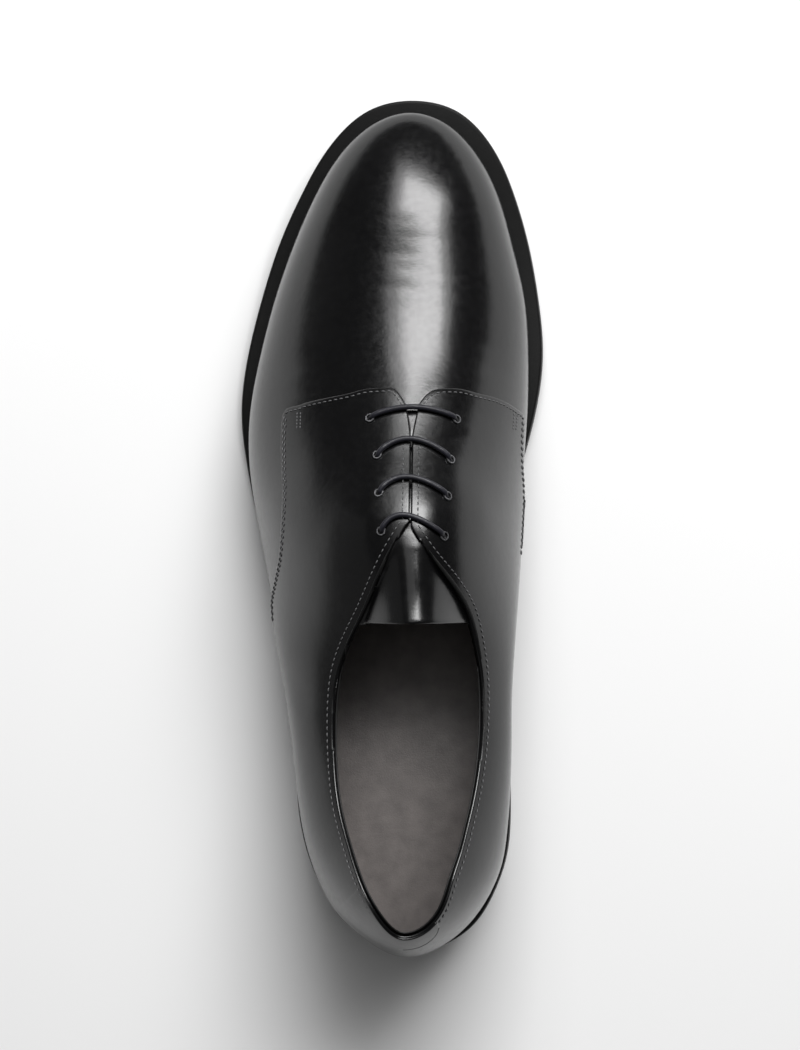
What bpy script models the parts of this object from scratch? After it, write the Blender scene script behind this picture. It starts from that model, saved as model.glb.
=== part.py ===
"""A left derby shoe, built as its maker would join it.

Frame: +Y points to the toe, +X to the medial side (the big toe), +Z up. The
floor is z = 0 and the origin is under the middle of the shoe's box. Tables
and sizes are in millimetres and are turned to metres when a mesh is made.

The upper, tongue and laces all come from one last surface. A point of it has
a station, which runs from the back of the heel to the tip of the toe on each
side and equals y along the middle of the shoe, and a lift, which is -1 at the
feather edge, 0 at the widest line of the section and 1 on the crest.
"""

import math
from collections import namedtuple

import bmesh
import bpy
import numpy as np
from mathutils import Vector

MM = 0.001

# Thicknesses and gaps
GAP = 0.3
OUTSOLE_THICK = 5.0
WELT_THICK = 3.0
WELT_WIDTH_INSIDE_FEATHER = 6.0
TOP_PIECE_THICK = 6.0
WALL = 2.2
QUARTER_WALL = 2.4
QUARTER_STEP = 1.0
SOCK_THICK = 1.5
TONGUE_THICK = 2.4
TONGUE_GAP = 0.6
LACE_RADIUS = 0.95
EYELET_OUTER_RADIUS = 1.7
EYELET_INNER_RADIUS = 1.2
EYELET_THICK = 0.4
EYELET_BEVEL = 0.15

# Stations of the last
HEEL_STATION = -166.0
TOE_STATION = 164.0
HALF_GIRTH = TOE_STATION - HEEL_STATION
QUARTER_STATION = 30.0
THROAT_STATION = 0.0
TOE_FAN_STATION = 62.0
TOE_FALL_START = 100.0
TOE_FALL_POWER = 2.5
SLIT_HALF_WIDTH = 0.7
WALL_BLEND = 25.0
SOCK_THIN_WALL_START = -60.0
SLOPE_STEP = 0.5

# Grid of the upper
QUARTER_COLUMNS = 24
FACING_COLUMNS = 4
VAMP_COLUMNS = 20
CORNER_ROW = 7
VAMP_CORNER_LIFT = 0.27
QUARTER_CORNER_LIFT = 0.66
LIFT_PULL_POWER = 3

# How finely the other pieces are divided
SLAB_COLUMNS = 4
HEEL_ROWS = 16
WELT_COLUMNS = 96
LACE_STOPS = 11
EYELET_SIDES = 16

Outline = namedtuple("Outline", "station lateral_x lateral_y medial_x medial_y")

# Widest line of the upper, seen from above
UPPER_OUTLINE = [
    Outline(-166, 7.3, -148.2, 7.3, -148.2),
    Outline(-149, -7.6, -141.5, 23.1, -141.5),
    Outline(-136.5, -16.6, -133.0, 31.2, -133.0),
    Outline(-126.5, -21.7, -124.5, 36.1, -124.6),
    Outline(-117.5, -24.9, -116.2, 39.1, -116.3),
    Outline(-108.5, -27.3, -107.8, 40.5, -107.8),
    Outline(-100, -29.0, -99.6, 41.3, -99.6),
    Outline(-80, -31.5, -80.0, 42.2, -80.0),
    Outline(-60, -34.4, -60.0, 42.5, -60.0),
    Outline(-40, -38.3, -40.0, 43.5, -40.0),
    Outline(-20, -41.9, -20.0, 44.9, -20.0),
    Outline(0, -46.0, 0.0, 46.0, 0.0),
    Outline(20, -49.3, 20.0, 47.2, 20.0),
    Outline(40, -49.3, 40.0, 48.6, 40.0),
    Outline(60, -45.8, 60.0, 49.0, 60.0),
    Outline(80, -40.7, 80.0, 47.6, 80.0),
    Outline(98, -34.5, 98.0, 43.7, 97.8),
    Outline(116, -27.0, 115.0, 38.7, 115.4),
    Outline(136, -16.0, 132.4, 29.6, 132.4),
    Outline(151, -4.4, 142.0, 19.0, 142.0),
    Outline(164, 7.3, 145.1, 7.3, 145.1),
]

# Trimmed edge of the sole and welt, seen from above
SOLE_OUTLINE = [
    Outline(-166, 7.3, -150.4, 7.3, -150.4),
    Outline(-149, -9.8, -144.0, 25.6, -143.8),
    Outline(-136.5, -19.3, -135.0, 33.8, -135.0),
    Outline(-126.5, -24.7, -125.4, 38.4, -125.6),
    Outline(-117.5, -28.2, -116.9, 41.2, -117.0),
    Outline(-108.5, -30.6, -108.2, 42.5, -108.2),
    Outline(-100, -32.0, -99.8, 42.8, -99.8),
    Outline(-80, -33.0, -80.0, 42.0, -80.0),
    Outline(-60, -34.0, -60.0, 39.5, -60.0),
    Outline(-40, -37.0, -40.0, 36.8, -40.0),
    Outline(-20, -41.8, -20.0, 36.4, -20.0),
    Outline(0, -47.2, 0.0, 40.0, 0.0),
    Outline(20, -51.4, 20.0, 46.0, 20.0),
    Outline(40, -53.6, 40.0, 51.4, 40.0),
    Outline(60, -51.4, 60.0, 54.0, 60.0),
    Outline(80, -46.5, 80.0, 52.5, 80.0),
    Outline(98, -39.9, 100.2, 49.0, 99.6),
    Outline(116, -31.9, 117.6, 43.7, 117.9),
    Outline(136, -21.1, 135.2, 35.0, 135.8),
    Outline(151, -7.9, 146.8, 22.8, 147.1),
    Outline(164, 7.4, 150.3, 7.4, 150.3),
]

# Crest of the last: its place seen from above, its height by station, and how
# hollow the section's shoulders are (0 an ellipse, 1 a parabola)
Crest = namedtuple("Crest", "station x y z hollow")
CREST = [
    Crest(-166, 8.5, -109.0, 110.0, 0.15),
    Crest(-136.5, 8.5, -106.5, 101.0, 0.15),
    Crest(-117.5, 8.6, -101.0, 92.5, 0.18),
    Crest(-100, 8.7, -92.5, 85.5, 0.22),
    Crest(-80, 8.9, -78.0, 79.5, 0.30),
    Crest(-60, 9.1, -60.0, 76.5, 0.38),
    Crest(-40, 9.3, -40.0, 80.5, 0.45),
    Crest(-20, 9.5, -20.0, 89.0, 0.50),
    Crest(0, 9.6, 0.0, 90.5, 0.52),
    Crest(20, 9.6, 20.0, 80.5, 0.50),
    Crest(40, 9.4, 40.0, 69.8, 0.42),
    Crest(60, 9.0, 60.0, 61.0, 0.30),
    Crest(80, 8.6, 79.0, 55.0, 0.20),
    Crest(98, 8.2, 94.0, 51.0, 0.12),
    Crest(116, 7.8, 106.0, 47.5, 0.06),
    Crest(136, 7.5, 117.0, 42.0, 0.02),
    Crest(151, 7.3, 123.5, 37.5, 0.0),
    Crest(164, 7.3, 126.0, 34.0, 0.0),
]

# How far the widest line is above the feather edge, and how far the feather
# edge is tucked in under it
Tuck = namedtuple("Tuck", "station lateral_rise medial_rise lateral_tuck medial_tuck")
TUCK = [
    Tuck(-166, 17, 17, 2.5, 2.5),
    Tuck(-126.5, 17, 17, 2.2, 2.4),
    Tuck(-100, 17, 18, 2.2, 2.6),
    Tuck(-80, 17, 20, 2.8, 4.2),
    Tuck(-60, 17, 22, 4.0, 7.0),
    Tuck(-40, 16, 23, 5.0, 10.0),
    Tuck(-20, 15, 22, 4.6, 11.2),
    Tuck(0, 14, 20, 3.6, 9.0),
    Tuck(20, 13, 16, 3.0, 5.0),
    Tuck(40, 11.5, 12.5, 2.8, 3.2),
    Tuck(60, 10, 10, 2.6, 2.6),
    Tuck(80, 8.5, 8.5, 2.4, 2.4),
    Tuck(116, 7, 7, 2.2, 2.2),
    Tuck(164, 6, 6, 2.0, 2.0),
]

# Topline: how far it leans in from the widest line, seen from above
Topline = namedtuple("Topline", "station lateral_lean medial_lean")
TOPLINE = [
    Topline(-166, 9.5, 9.5),
    Topline(-156.5, 11.1, 9.7),
    Topline(-147, 13.2, 11.2),
    Topline(-135, 15.2, 13.7),
    Topline(-123, 15.5, 14.4),
    Topline(-111, 15.1, 13.4),
    Topline(-100, 14.5, 11.9),
    Topline(-80, 14.5, 9.6),
    Topline(-65, 16.2, 8.8),
    Topline(-50, 20.5, 9.6),
    Topline(-40, 26.0, 11.6),
    Topline(-30, 32.8, 14.6),
    Topline(-20, 39.2, 20.6),
    Topline(-10, 46.0, 29.0),
    Topline(0, 54.2, 36.2),
]

# Height of the outsole's underside along the shoe
SoleBottom = namedtuple("SoleBottom", "y z")
SOLE_BOTTOM = [
    SoleBottom(-160, 22.6),
    SoleBottom(-150, 22.5),
    SoleBottom(-110, 21.5),
    SoleBottom(-75, 18.5),
    SoleBottom(-45, 12.5),
    SoleBottom(-10, 4.2),
    SoleBottom(8, 1.3),
    SoleBottom(24, 0.0),
    SoleBottom(60, 0.0),
    SoleBottom(78, 0.4),
    SoleBottom(95, 1.6),
    SoleBottom(120, 5.0),
    SoleBottom(150, 10.6),
    SoleBottom(160, 12.8),
]

# Front edge and side seam of the quarters, one row for each row of the grid:
# the lift and station of the first rows, then the place seen from above
SeamFoot = namedtuple("SeamFoot", "lift lateral_station medial_station")
SEAM_FOOT = [
    SeamFoot(-1.0, -50, -36),
    SeamFoot(-0.5, -43, -28),
    SeamFoot(0.0, -34, -14),
]
EdgePoint = namedtuple("EdgePoint", "lateral_x lateral_y medial_x medial_y")
QUARTER_EDGE = [
    EdgePoint(-39.8, -26.5, 46.4, 0.0),
    EdgePoint(-38.0, -18.0, 46.5, 10.0),
    EdgePoint(-35.8, -7.0, 46.3, 20.0),
    EdgePoint(-34.9, 14.0, 46.3, 29.0),
    EdgePoint(-35.2, 37.4, 46.6, 37.0),
    EdgePoint(-29.0, 40.8, 43.4, 40.4),
    EdgePoint(-21.0, 42.6, 38.0, 43.0),
    EdgePoint(-13.0, 44.0, 31.0, 44.6),
    EdgePoint(-5.0, 45.8, 24.0, 45.9),
    EdgePoint(2.0, 46.0, 17.2, 45.4),
    EdgePoint(6.6, 41.6, 12.6, 41.4),
    EdgePoint(8.2, 37.0, 11.2, 37.0),
    EdgePoint(9.6, 30.0, 9.6, 30.0),
]

# Tongue: its edges and the height that its middle gains between the rims
TongueRow = namedtuple("TongueRow", "y left right open_middle open_half lift")
TONGUE = [
    TongueRow(44, -4, 23, 9.6, 6.0, 0.0),
    TongueRow(30, -5, 24, 9.6, 6.0, 0.0),
    TongueRow(15, -6, 26, 9.6, 6.0, 0.0),
    TongueRow(2, -7, 27.5, 9.6, 6.0, 0.0),
    TongueRow(-8, -8.2, 28.8, 9.2, 4.6, 0.5),
    TongueRow(-16, -9.0, 30.0, 9.9, 8.6, 2.8),
    TongueRow(-24, -9.6, 31.0, 10.6, 12.8, 6.4),
    TongueRow(-31, -9.6, 31.6, 11.0, 16.0, 11.0),
    TongueRow(-34, -8.6, 31.0, 11.3, 17.6, 13.2),
]
TONGUE_ROWS_PER_MM = 0.2
TONGUE_COLUMNS = 10
TONGUE_CROWN_POWER = 1.5

# Lace bars, seen from above: both eyelets and the middle of the bar
LaceBar = namedtuple("LaceBar", "lateral_x lateral_y middle_x middle_y medial_x medial_y")
LACE_BARS = [
    LaceBar(-4.4, 35.7, 9.7, 39.0, 24.0, 35.5),
    LaceBar(-1.6, 22.9, 9.4, 28.0, 22.2, 21.5),
    LaceBar(-0.7, 10.0, 8.6, 14.9, 21.3, 9.1),
    LaceBar(0.3, -2.5, 7.9, 2.4, 20.3, -4.1),
]

# Rows across the flat pieces that run the whole length, closer at both ends
SOLE_ROWS = np.concatenate([
    np.linspace(HEEL_STATION, -90, 12),
    np.linspace(-78, 96, 16),
    np.linspace(104, TOE_STATION, 10),
])

# Heel
HEEL_BREAST_STATION = -74.0
HEEL_BREAST_HOLLOW = 4.0

# Edges of the flat pieces, from bottom to top: how far in from the outline at a
# share of the thickness
EdgeRow = namedtuple("EdgeRow", "inset share")
OUTSOLE_EDGE = [EdgeRow(1.2, 0.0), EdgeRow(0.2, 0.25), EdgeRow(0.0, 0.6), EdgeRow(0.5, 1.0)]
WELT_EDGE = [EdgeRow(0.9, 0.0), EdgeRow(0.3, 0.35), EdgeRow(0.4, 0.75), EdgeRow(1.1, 1.0)]
STACK_EDGE = [EdgeRow(1.8, 0.0), EdgeRow(0.5, 1.0)]
TOP_PIECE_EDGE = [EdgeRow(2.6, 0.0), EdgeRow(1.8, 0.2), EdgeRow(1.8, 1.0)]
PLAIN_EDGE = [EdgeRow(0.0, 0.0), EdgeRow(0.0, 1.0)]


def cubic(knots, values):
    """Natural cubic spline through (knot, value) pairs."""
    knots = np.asarray(knots, dtype=float)
    values = np.asarray(values, dtype=float)
    count = len(knots)
    step = np.diff(knots)
    matrix = np.eye(count)
    right = np.zeros(count)
    for i in range(1, count - 1):
        matrix[i, i - 1] = step[i - 1]
        matrix[i, i] = 2 * (step[i - 1] + step[i])
        matrix[i, i + 1] = step[i]
        rise_after = (values[i + 1] - values[i]) / step[i]
        rise_before = (values[i] - values[i - 1]) / step[i - 1]
        right[i] = 6 * (rise_after - rise_before)
    bend = np.linalg.solve(matrix, right)

    def value(x):
        x = np.clip(np.asarray(x, dtype=float), knots[0], knots[-1])
        i = np.clip(np.searchsorted(knots, x) - 1, 0, count - 2)
        width = step[i]
        before = x - knots[i]
        after = knots[i + 1] - x
        cubic_part = (bend[i] * after ** 3 + bend[i + 1] * before ** 3) / (6 * width)
        left = (values[i] / width - bend[i] * width / 6) * after
        return cubic_part + left + (values[i + 1] / width - bend[i + 1] * width / 6) * before

    return value


def mirrored(knots, values, both=True):
    """Spline that is level at its first knot, and at its last one too if both."""
    knots = np.asarray(knots, dtype=float)
    values = np.asarray(values, dtype=float)
    all_knots = np.concatenate([2 * knots[0] - knots[:0:-1], knots])
    all_values = np.concatenate([values[:0:-1], values])
    if both:
        all_knots = np.concatenate([all_knots, 2 * knots[-1] - knots[-2::-1]])
        all_values = np.concatenate([all_values, values[-2::-1]])
    curve = cubic(all_knots, all_values)
    return lambda x: curve(np.clip(x, knots[0], knots[-1]))


def round_trip(stations, lateral, medial):
    """Spline round the shoe: up the lateral side and back down the medial."""
    stations = np.asarray(stations, dtype=float)
    there = stations - HEEL_STATION
    back = 2 * HALF_GIRTH - there[-2:0:-1]
    once = np.concatenate([there, back])
    values = np.concatenate([lateral, np.asarray(medial)[-2:0:-1]])
    girth = 2 * HALF_GIRTH
    knots = np.concatenate([once - girth, once, once + girth])
    return cubic(knots, np.tile(values, 3))


def column(rows, name):
    return np.array([getattr(row, name) for row in rows], dtype=float)


def place(station, side):
    """Place on the round trip of a station on one side (-1 lateral, 1 medial)."""
    along = np.asarray(station, dtype=float) - HEEL_STATION
    if side < 0:
        return along
    return 2 * HALF_GIRTH - along


def both_places(stations):
    return place(stations, -1), place(stations, 1)


def outline_curve(rows):
    stations = column(rows, "station")
    x = round_trip(stations, column(rows, "lateral_x"), column(rows, "medial_x"))
    y = round_trip(stations, column(rows, "lateral_y"), column(rows, "medial_y"))
    return lambda w: np.stack([x(w), y(w)], axis=-1)


def crest_curve(name):
    return mirrored(column(CREST, "station"), column(CREST, name))


def tuck_curve(name):
    lateral = column(TUCK, "lateral_" + name)
    return round_trip(column(TUCK, "station"), lateral, column(TUCK, "medial_" + name))


def lean_curve(name):
    return mirrored(column(TOPLINE, "station"), column(TOPLINE, name), both=False)


upper_outline = outline_curve(UPPER_OUTLINE)
sole_outline = outline_curve(SOLE_OUTLINE)
crest_x = crest_curve("x")
crest_y = crest_curve("y")
crest_z = crest_curve("z")
crest_hollow = crest_curve("hollow")
bulge_rise = tuck_curve("rise")
feather_tuck = tuck_curve("tuck")
topline_lean = {-1: lean_curve("lateral_lean"), 1: lean_curve("medial_lean")}

# The flat stretch under the ball is exactly flat, the rest is smooth
sole_back = cubic(column(SOLE_BOTTOM[:8], "y"), column(SOLE_BOTTOM[:8], "z"))
sole_front = cubic(column(SOLE_BOTTOM[8:], "y"), column(SOLE_BOTTOM[8:], "z"))
BALL_FLAT_BACK = SOLE_BOTTOM[7].y
BALL_FLAT_FRONT = SOLE_BOTTOM[8].y


def sole_bottom(y):
    y = np.asarray(y, dtype=float)
    z = np.where(y < BALL_FLAT_BACK, sole_back(y), 0.0)
    z = np.where(y > BALL_FLAT_FRONT, sole_front(y), z)
    return np.maximum(z, 0.0)


def sole_top(y):
    return sole_bottom(y) + OUTSOLE_THICK


def welt_bottom(y):
    return sole_top(y) + GAP


def welt_top(y):
    return welt_bottom(y) + WELT_THICK


def feather_height(y):
    return welt_top(y) + GAP


def sock_top(y):
    return feather_height(y) + SOCK_THICK


def top_piece_top(y):
    return np.full_like(y, TOP_PIECE_THICK)


def stack_bottom(y):
    return top_piece_top(y) + GAP


def stack_top(y):
    return sole_bottom(y) - GAP


# Half outlines as x by y, for the height of the vamp over any point
SAMPLES = 3000
sample_stations = np.linspace(HEEL_STATION, TOE_STATION, SAMPLES)
side_samples = {side: upper_outline(place(sample_stations, side)) for side in (-1, 1)}


def bulge_x(y, side):
    points = side_samples[side]
    return np.interp(y, points[:, 1], points[:, 0])


def bulge_height(y, side):
    station = np.clip(y, HEEL_STATION, TOE_STATION)
    return feather_height(y) + bulge_rise(place(station, side))


def crest_height(y):
    """Height of the crest, which falls round the toe like a blunt ellipse."""
    tip = UPPER_OUTLINE[-1].lateral_y
    share = np.clip((y - TOE_FALL_START) / (tip - TOE_FALL_START), 0, 1)
    fall = (1 - share ** TOE_FALL_POWER) ** (1 / TOE_FALL_POWER)
    base = bulge_height(y, 1)
    return base + (crest_z(y) - base) * fall


def section(across, hollow):
    """Height share of a section at a share of the way from crest to widest line."""
    inside = np.clip(1 - across ** 2, 0, 1)
    return (1 - hollow) * np.sqrt(inside) + hollow * inside


def vamp_height(x, y):
    """Height of the last over a point seen from above, ahead of the heel."""
    x = np.asarray(x, dtype=float)
    y = np.asarray(y, dtype=float)
    ridge = crest_x(y)
    result = np.zeros(np.broadcast(x, y).shape)
    for side in (-1, 1):
        reach = np.maximum(np.abs(bulge_x(y, side) - ridge), 1e-6)
        across = np.clip(np.abs(x - ridge) / reach, 0, 1)
        base = bulge_height(y, side)
        z = base + (crest_height(y) - base) * section(across, crest_hollow(y))
        here = x < ridge if side < 0 else x >= ridge
        result = np.where(here, z, result)
    return result


def slopes(x, y):
    """Slope of the last along X and Y at a point seen from above."""
    slope_x = vamp_height(x + SLOPE_STEP, y) - vamp_height(x - SLOPE_STEP, y)
    slope_y = vamp_height(x, y + SLOPE_STEP) - vamp_height(x, y - SLOPE_STEP)
    return slope_x / (2 * SLOPE_STEP), slope_y / (2 * SLOPE_STEP)


def inward(curve, w):
    """Unit vectors that point into the shoe from an outline."""
    ahead = curve(w + SLOPE_STEP) - curve(w - SLOPE_STEP)
    ahead /= np.linalg.norm(ahead, axis=-1, keepdims=True)
    return np.stack([ahead[..., 1], -ahead[..., 0]], axis=-1)


def last_point(station, lift, side):
    """A point of the last from its station and lift on one side."""
    w = place(station, side)
    edge = upper_outline(w)
    if lift <= 0:
        depth = -lift
        inset = feather_tuck(w) * depth ** 2
        plan = edge + inward(upper_outline, w) * inset
        rise = bulge_rise(w) * (1 - depth)
        return np.array([plan[0], plan[1], feather_height(plan[1]) + rise])
    middle = np.array([crest_x(station), crest_y(station)])
    angle = math.radians(90 * lift)
    plan = edge + (middle - edge) * (1 - math.cos(angle))
    if station > TOE_FAN_STATION:
        return np.array([plan[0], plan[1], float(vamp_height(plan[0], plan[1]))])
    base = feather_height(edge[1]) + bulge_rise(w)
    z = base + (crest_z(station) - base) * section(math.cos(angle), crest_hollow(station))
    return np.array([plan[0], plan[1], z])


def lift_of(x, y, side):
    """Lift of a point seen from above, along the middle of the shoe."""
    reach = abs(bulge_x(y, side) - crest_x(y))
    return math.degrees(math.acos(min(abs(x - crest_x(y)) / reach, 1))) / 90


def topline_lift(station, side):
    w = place(station, side)
    edge = upper_outline(w)
    reach = math.hypot(crest_x(station) - edge[0], crest_y(station) - edge[1])
    if station >= THROAT_STATION:
        return math.degrees(math.acos(SLIT_HALF_WIDTH / reach)) / 90
    lean = min(float(topline_lean[side](station)), reach - SLIT_HALF_WIDTH)
    return math.degrees(math.acos(1 - lean / reach)) / 90


def seam_path(side):
    """Station and lift of the quarter's edge, one pair for each grid row."""
    name = "lateral" if side < 0 else "medial"
    path = [(getattr(row, name + "_station"), row.lift) for row in SEAM_FOOT]
    for row in QUARTER_EDGE:
        x = getattr(row, name + "_x")
        y = getattr(row, name + "_y")
        path.append((y, lift_of(x, y, side)))
    path[-1] = (QUARTER_STATION, 1.0)
    return path


def resting_lifts(corner_lift):
    """Lifts of the grid rows far from the seam, from where its corner's row lies."""
    foot = len(SEAM_FOOT)
    to_corner = CORNER_ROW - foot + 1
    below = [corner_lift * (i + 1) / to_corner for i in range(to_corner)]
    rest = len(QUARTER_EDGE) - to_corner
    above = [corner_lift + (1 - corner_lift) * (i + 1) / rest for i in range(rest)]
    return [row.lift for row in SEAM_FOOT] + below + above


def grid_point(top_station, row, side, seam):
    """Station and lift of a grid point: columns bend along the seam."""
    seam_station, seam_lift = seam[row]
    if top_station >= QUARTER_STATION:
        pull = 1 - (top_station - QUARTER_STATION) / (TOE_STATION - QUARTER_STATION)
        top = 1.0
        lift = VAMP_LIFTS[row]
    else:
        pull = 1 - (QUARTER_STATION - top_station) / (QUARTER_STATION - HEEL_STATION)
        top = topline_lift(top_station, side)
        lift = QUARTER_LIFTS[row]
    station = top_station + pull * (seam_station - QUARTER_STATION)
    if lift <= 0:
        return station, lift
    return station, top * (lift + pull ** LIFT_PULL_POWER * (seam_lift - lift))


VAMP_LIFTS = resting_lifts(VAMP_CORNER_LIFT)
QUARTER_LIFTS = resting_lifts(QUARTER_CORNER_LIFT)


def inner_depth(top_station):
    """Depth of the inner face under the last's surface, thinner under the quarters."""
    behind = (QUARTER_STATION - top_station) / WALL_BLEND
    return WALL - (WALL + QUARTER_STEP - QUARTER_WALL) * min(max(behind, 0.0), 1.0)


def mesh_object(name, points, faces, material):
    """Object from points in millimetres, with its faces turned outward."""
    mesh = bpy.data.meshes.new(name)
    mesh.from_pydata([tuple(float(c) * MM for c in point) for point in points], [], faces)
    work = bmesh.new()
    work.from_mesh(mesh)
    bmesh.ops.remove_doubles(work, verts=work.verts, dist=0.00001)
    bmesh.ops.dissolve_degenerate(work, dist=0.000001, edges=work.edges)
    bmesh.ops.triangulate(work, faces=work.faces)
    bmesh.ops.recalc_face_normals(work, faces=work.faces)
    work.to_mesh(mesh)
    work.free()
    mesh.shade_smooth()
    mesh.set_sharp_from_angle(angle=math.radians(35))
    mesh.materials.append(material)
    thing = bpy.data.objects.new(name, mesh)
    bpy.context.scene.collection.objects.link(thing)
    return thing


def finish(name, color, roughness, metallic=0.0):
    """Plain material of one colour and gloss."""
    material = bpy.data.materials.new(name)
    material.use_nodes = True
    shader = material.node_tree.nodes["Principled BSDF"]
    shader.inputs["Base Color"].default_value = (*color, 1.0)
    shader.inputs["Roughness"].default_value = roughness
    shader.inputs["Metallic"].default_value = metallic
    return material


def side_stations():
    """Top stations of one side's columns, from the heel back to the toe."""
    behind = np.linspace(HEEL_STATION, THROAT_STATION, QUARTER_COLUMNS - FACING_COLUMNS + 1)
    facing = np.linspace(THROAT_STATION, QUARTER_STATION, FACING_COLUMNS + 1)[1:]
    ahead = np.linspace(QUARTER_STATION, TOE_STATION, VAMP_COLUMNS + 1)[1:]
    return np.concatenate([behind, facing, ahead])


def make_upper(material):
    """One hollow wall, open at the collar, throat slit and underneath."""
    stations = side_stations()
    rows = len(VAMP_LIFTS)
    seam_column = int(np.argmin(np.abs(stations - QUARTER_STATION)))
    last_column = len(stations) - 1
    skin = []
    keys = {}

    def skin_index(side, i, j):
        centre = (i in (0, last_column)) or (j == rows - 1 and i >= seam_column)
        key = (0 if centre else side, i, j)
        if key not in keys:
            keys[key] = len(skin)
            station, lift = grid_point(stations[i], j, side, seams[side])
            skin.append(last_point(station, lift, side))
        return keys[key]

    seams = {side: seam_path(side) for side in (-1, 1)}
    quads = []
    for side in (-1, 1):
        for i in range(last_column):
            for j in range(rows - 1):
                quad = [skin_index(side, i, j), skin_index(side, i + 1, j)]
                quad += [skin_index(side, i + 1, j + 1), skin_index(side, i, j + 1)]
                quads.append((side, i, j, quad if side < 0 else quad[::-1]))
    skin = np.array(skin)
    normals = np.zeros_like(skin)
    for _, _, _, quad in quads:
        diagonal = skin[quad[2]] - skin[quad[0]]
        other = skin[quad[3]] - skin[quad[1]]
        facing = np.cross(diagonal, other)
        size = np.linalg.norm(facing)
        for index in quad:
            normals[index] += facing / max(size, 1e-9)
    normals /= np.linalg.norm(normals, axis=1, keepdims=True)
    middle = skin.mean(axis=0)
    if np.sum(normals * (skin - middle)) < 0:
        normals = -normals

    inner = skin - normals * WALL
    raised = skin + normals * QUARTER_STEP
    for (_, i, _), index in keys.items():
        inner[index] = skin[index] - normals[index] * inner_depth(stations[i])
    for (_, i, j), index in keys.items():
        if j == 0:
            flat = normals[index] * (1, 1, 0)
            flat /= np.linalg.norm(flat)
            inner[index] = skin[index] - flat * inner_depth(stations[i])
            raised[index] = skin[index] + flat * QUARTER_STEP
            inner[index][2] = feather_height(inner[index][1])
            raised[index][2] = feather_height(raised[index][1])
    place_of = {"plain": skin, "raised": raised, "inner": inner}

    points = []
    index_of = {}

    def vertex(kind, side, i, j):
        base = skin_index(side, i, j)
        at_tip = kind == "raised" and i == seam_column and j == rows - 1
        key = (kind, base, side if at_tip else 0)
        if key in index_of:
            return index_of[key]
        point = place_of[kind][base].copy()
        if at_tip:
            point[0] += side * SLIT_HALF_WIDTH
        index_of[key] = len(points)
        points.append(point)
        return index_of[key]

    faces = []
    for side in (-1, 1):
        for i in range(last_column):
            outer = "raised" if i < seam_column else "plain"
            for j in range(rows - 1):
                corners = [(i, j), (i + 1, j), (i + 1, j + 1), (i, j + 1)]
                faces.append([vertex(outer, side, *corner) for corner in corners])
                faces.append([vertex("inner", side, *corner) for corner in reversed(corners)])
            faces.append([
                vertex(outer, side, i, 0),
                vertex("inner", side, i, 0),
                vertex("inner", side, i + 1, 0),
                vertex(outer, side, i + 1, 0),
            ])
            if i < seam_column:
                top = rows - 1
                rim = [vertex(outer, side, i, top), vertex(outer, side, i + 1, top)]
                if i + 1 == seam_column:
                    rim.append(vertex("plain", side, i + 1, top))
                rim += [vertex("inner", side, i + 1, top), vertex("inner", side, i, top)]
                faces.append(rim)
        for j in range(rows - 1):
            faces.append([
                vertex("plain", side, seam_column, j),
                vertex("plain", side, seam_column, j + 1),
                vertex("raised", side, seam_column, j + 1),
                vertex("raised", side, seam_column, j),
            ])
        faces.append([
            vertex("plain", side, seam_column, 0),
            vertex("raised", side, seam_column, 0),
            vertex("inner", side, seam_column, 0),
        ])
    return mesh_object("upper", points, faces, material)


def ladder(left, right, columns, height):
    """Grid of points between two matching rows of plan points."""
    share = np.linspace(0, 1, columns + 1)[None, :, None]
    plan = left[:, None, :] * (1 - share) + right[:, None, :] * share
    z = height(plan[..., 1])
    return np.concatenate([plan, z[..., None]], axis=-1)


def rim_of(rows, columns):
    """Grid places round a ladder: up the left side and back down the right."""
    rim = [(i, 0) for i in range(rows)]
    rim += [(rows - 1, j) for j in range(1, columns + 1)]
    rim += [(i, columns) for i in range(rows - 2, -1, -1)]
    rim += [(0, j) for j in range(columns - 1, 0, -1)]
    return rim


def make_slab(name, outline, stations, edge, bottom, top, material, breast=0.0):
    """Solid slab between two heights, whose sides follow the rows of an edge.

    A slab that stops short of the toe has a breast, a front face that is hollow
    by the breast's depth in the middle.
    """
    across = np.linspace(-1, 1, SLAB_COLUMNS + 1)

    def layer(inset, share):
        def height(y):
            return bottom(y) * (1 - share) + top(y) * share

        left, right = (outline(w) + inward(outline, w) * inset for w in both_places(stations))
        if breast:
            left[-1, 1] -= inset
            right[-1, 1] -= inset
        grid = ladder(left, right, SLAB_COLUMNS, height)
        grid[-1, :, 1] -= breast * (1 - across ** 2)
        grid[-1, :, 2] = height(grid[-1, :, 1])
        return grid

    layers = [layer(row.inset, row.share) for row in edge]
    rows = len(stations)
    points = [point for grid in layers for point in grid.reshape(-1, 3)]
    size = rows * (SLAB_COLUMNS + 1)
    last = size * (len(layers) - 1)
    faces = []
    for i in range(rows - 1):
        for j in range(SLAB_COLUMNS):
            base = i * (SLAB_COLUMNS + 1) + j
            face = [base, base + 1, base + SLAB_COLUMNS + 2, base + SLAB_COLUMNS + 1]
            faces.append(face[::-1])
            faces.append([last + corner for corner in face])
    rim = [i * (SLAB_COLUMNS + 1) + j for i, j in rim_of(rows, SLAB_COLUMNS)]
    for start in range(0, last, size):
        for here, there in zip(rim, rim[1:] + rim[:1]):
            low = [start + here, start + there]
            faces.append(low + [low[1] + size, low[0] + size])
    return mesh_object(name, points, faces, material)


def welt_inner_plan(w):
    """Inner edge of the welt, a fixed width inside the feather edge."""
    feather = upper_outline(w) + inward(upper_outline, w) * feather_tuck(w)[:, None]
    return feather + inward(upper_outline, w) * WELT_WIDTH_INSIDE_FEATHER


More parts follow.
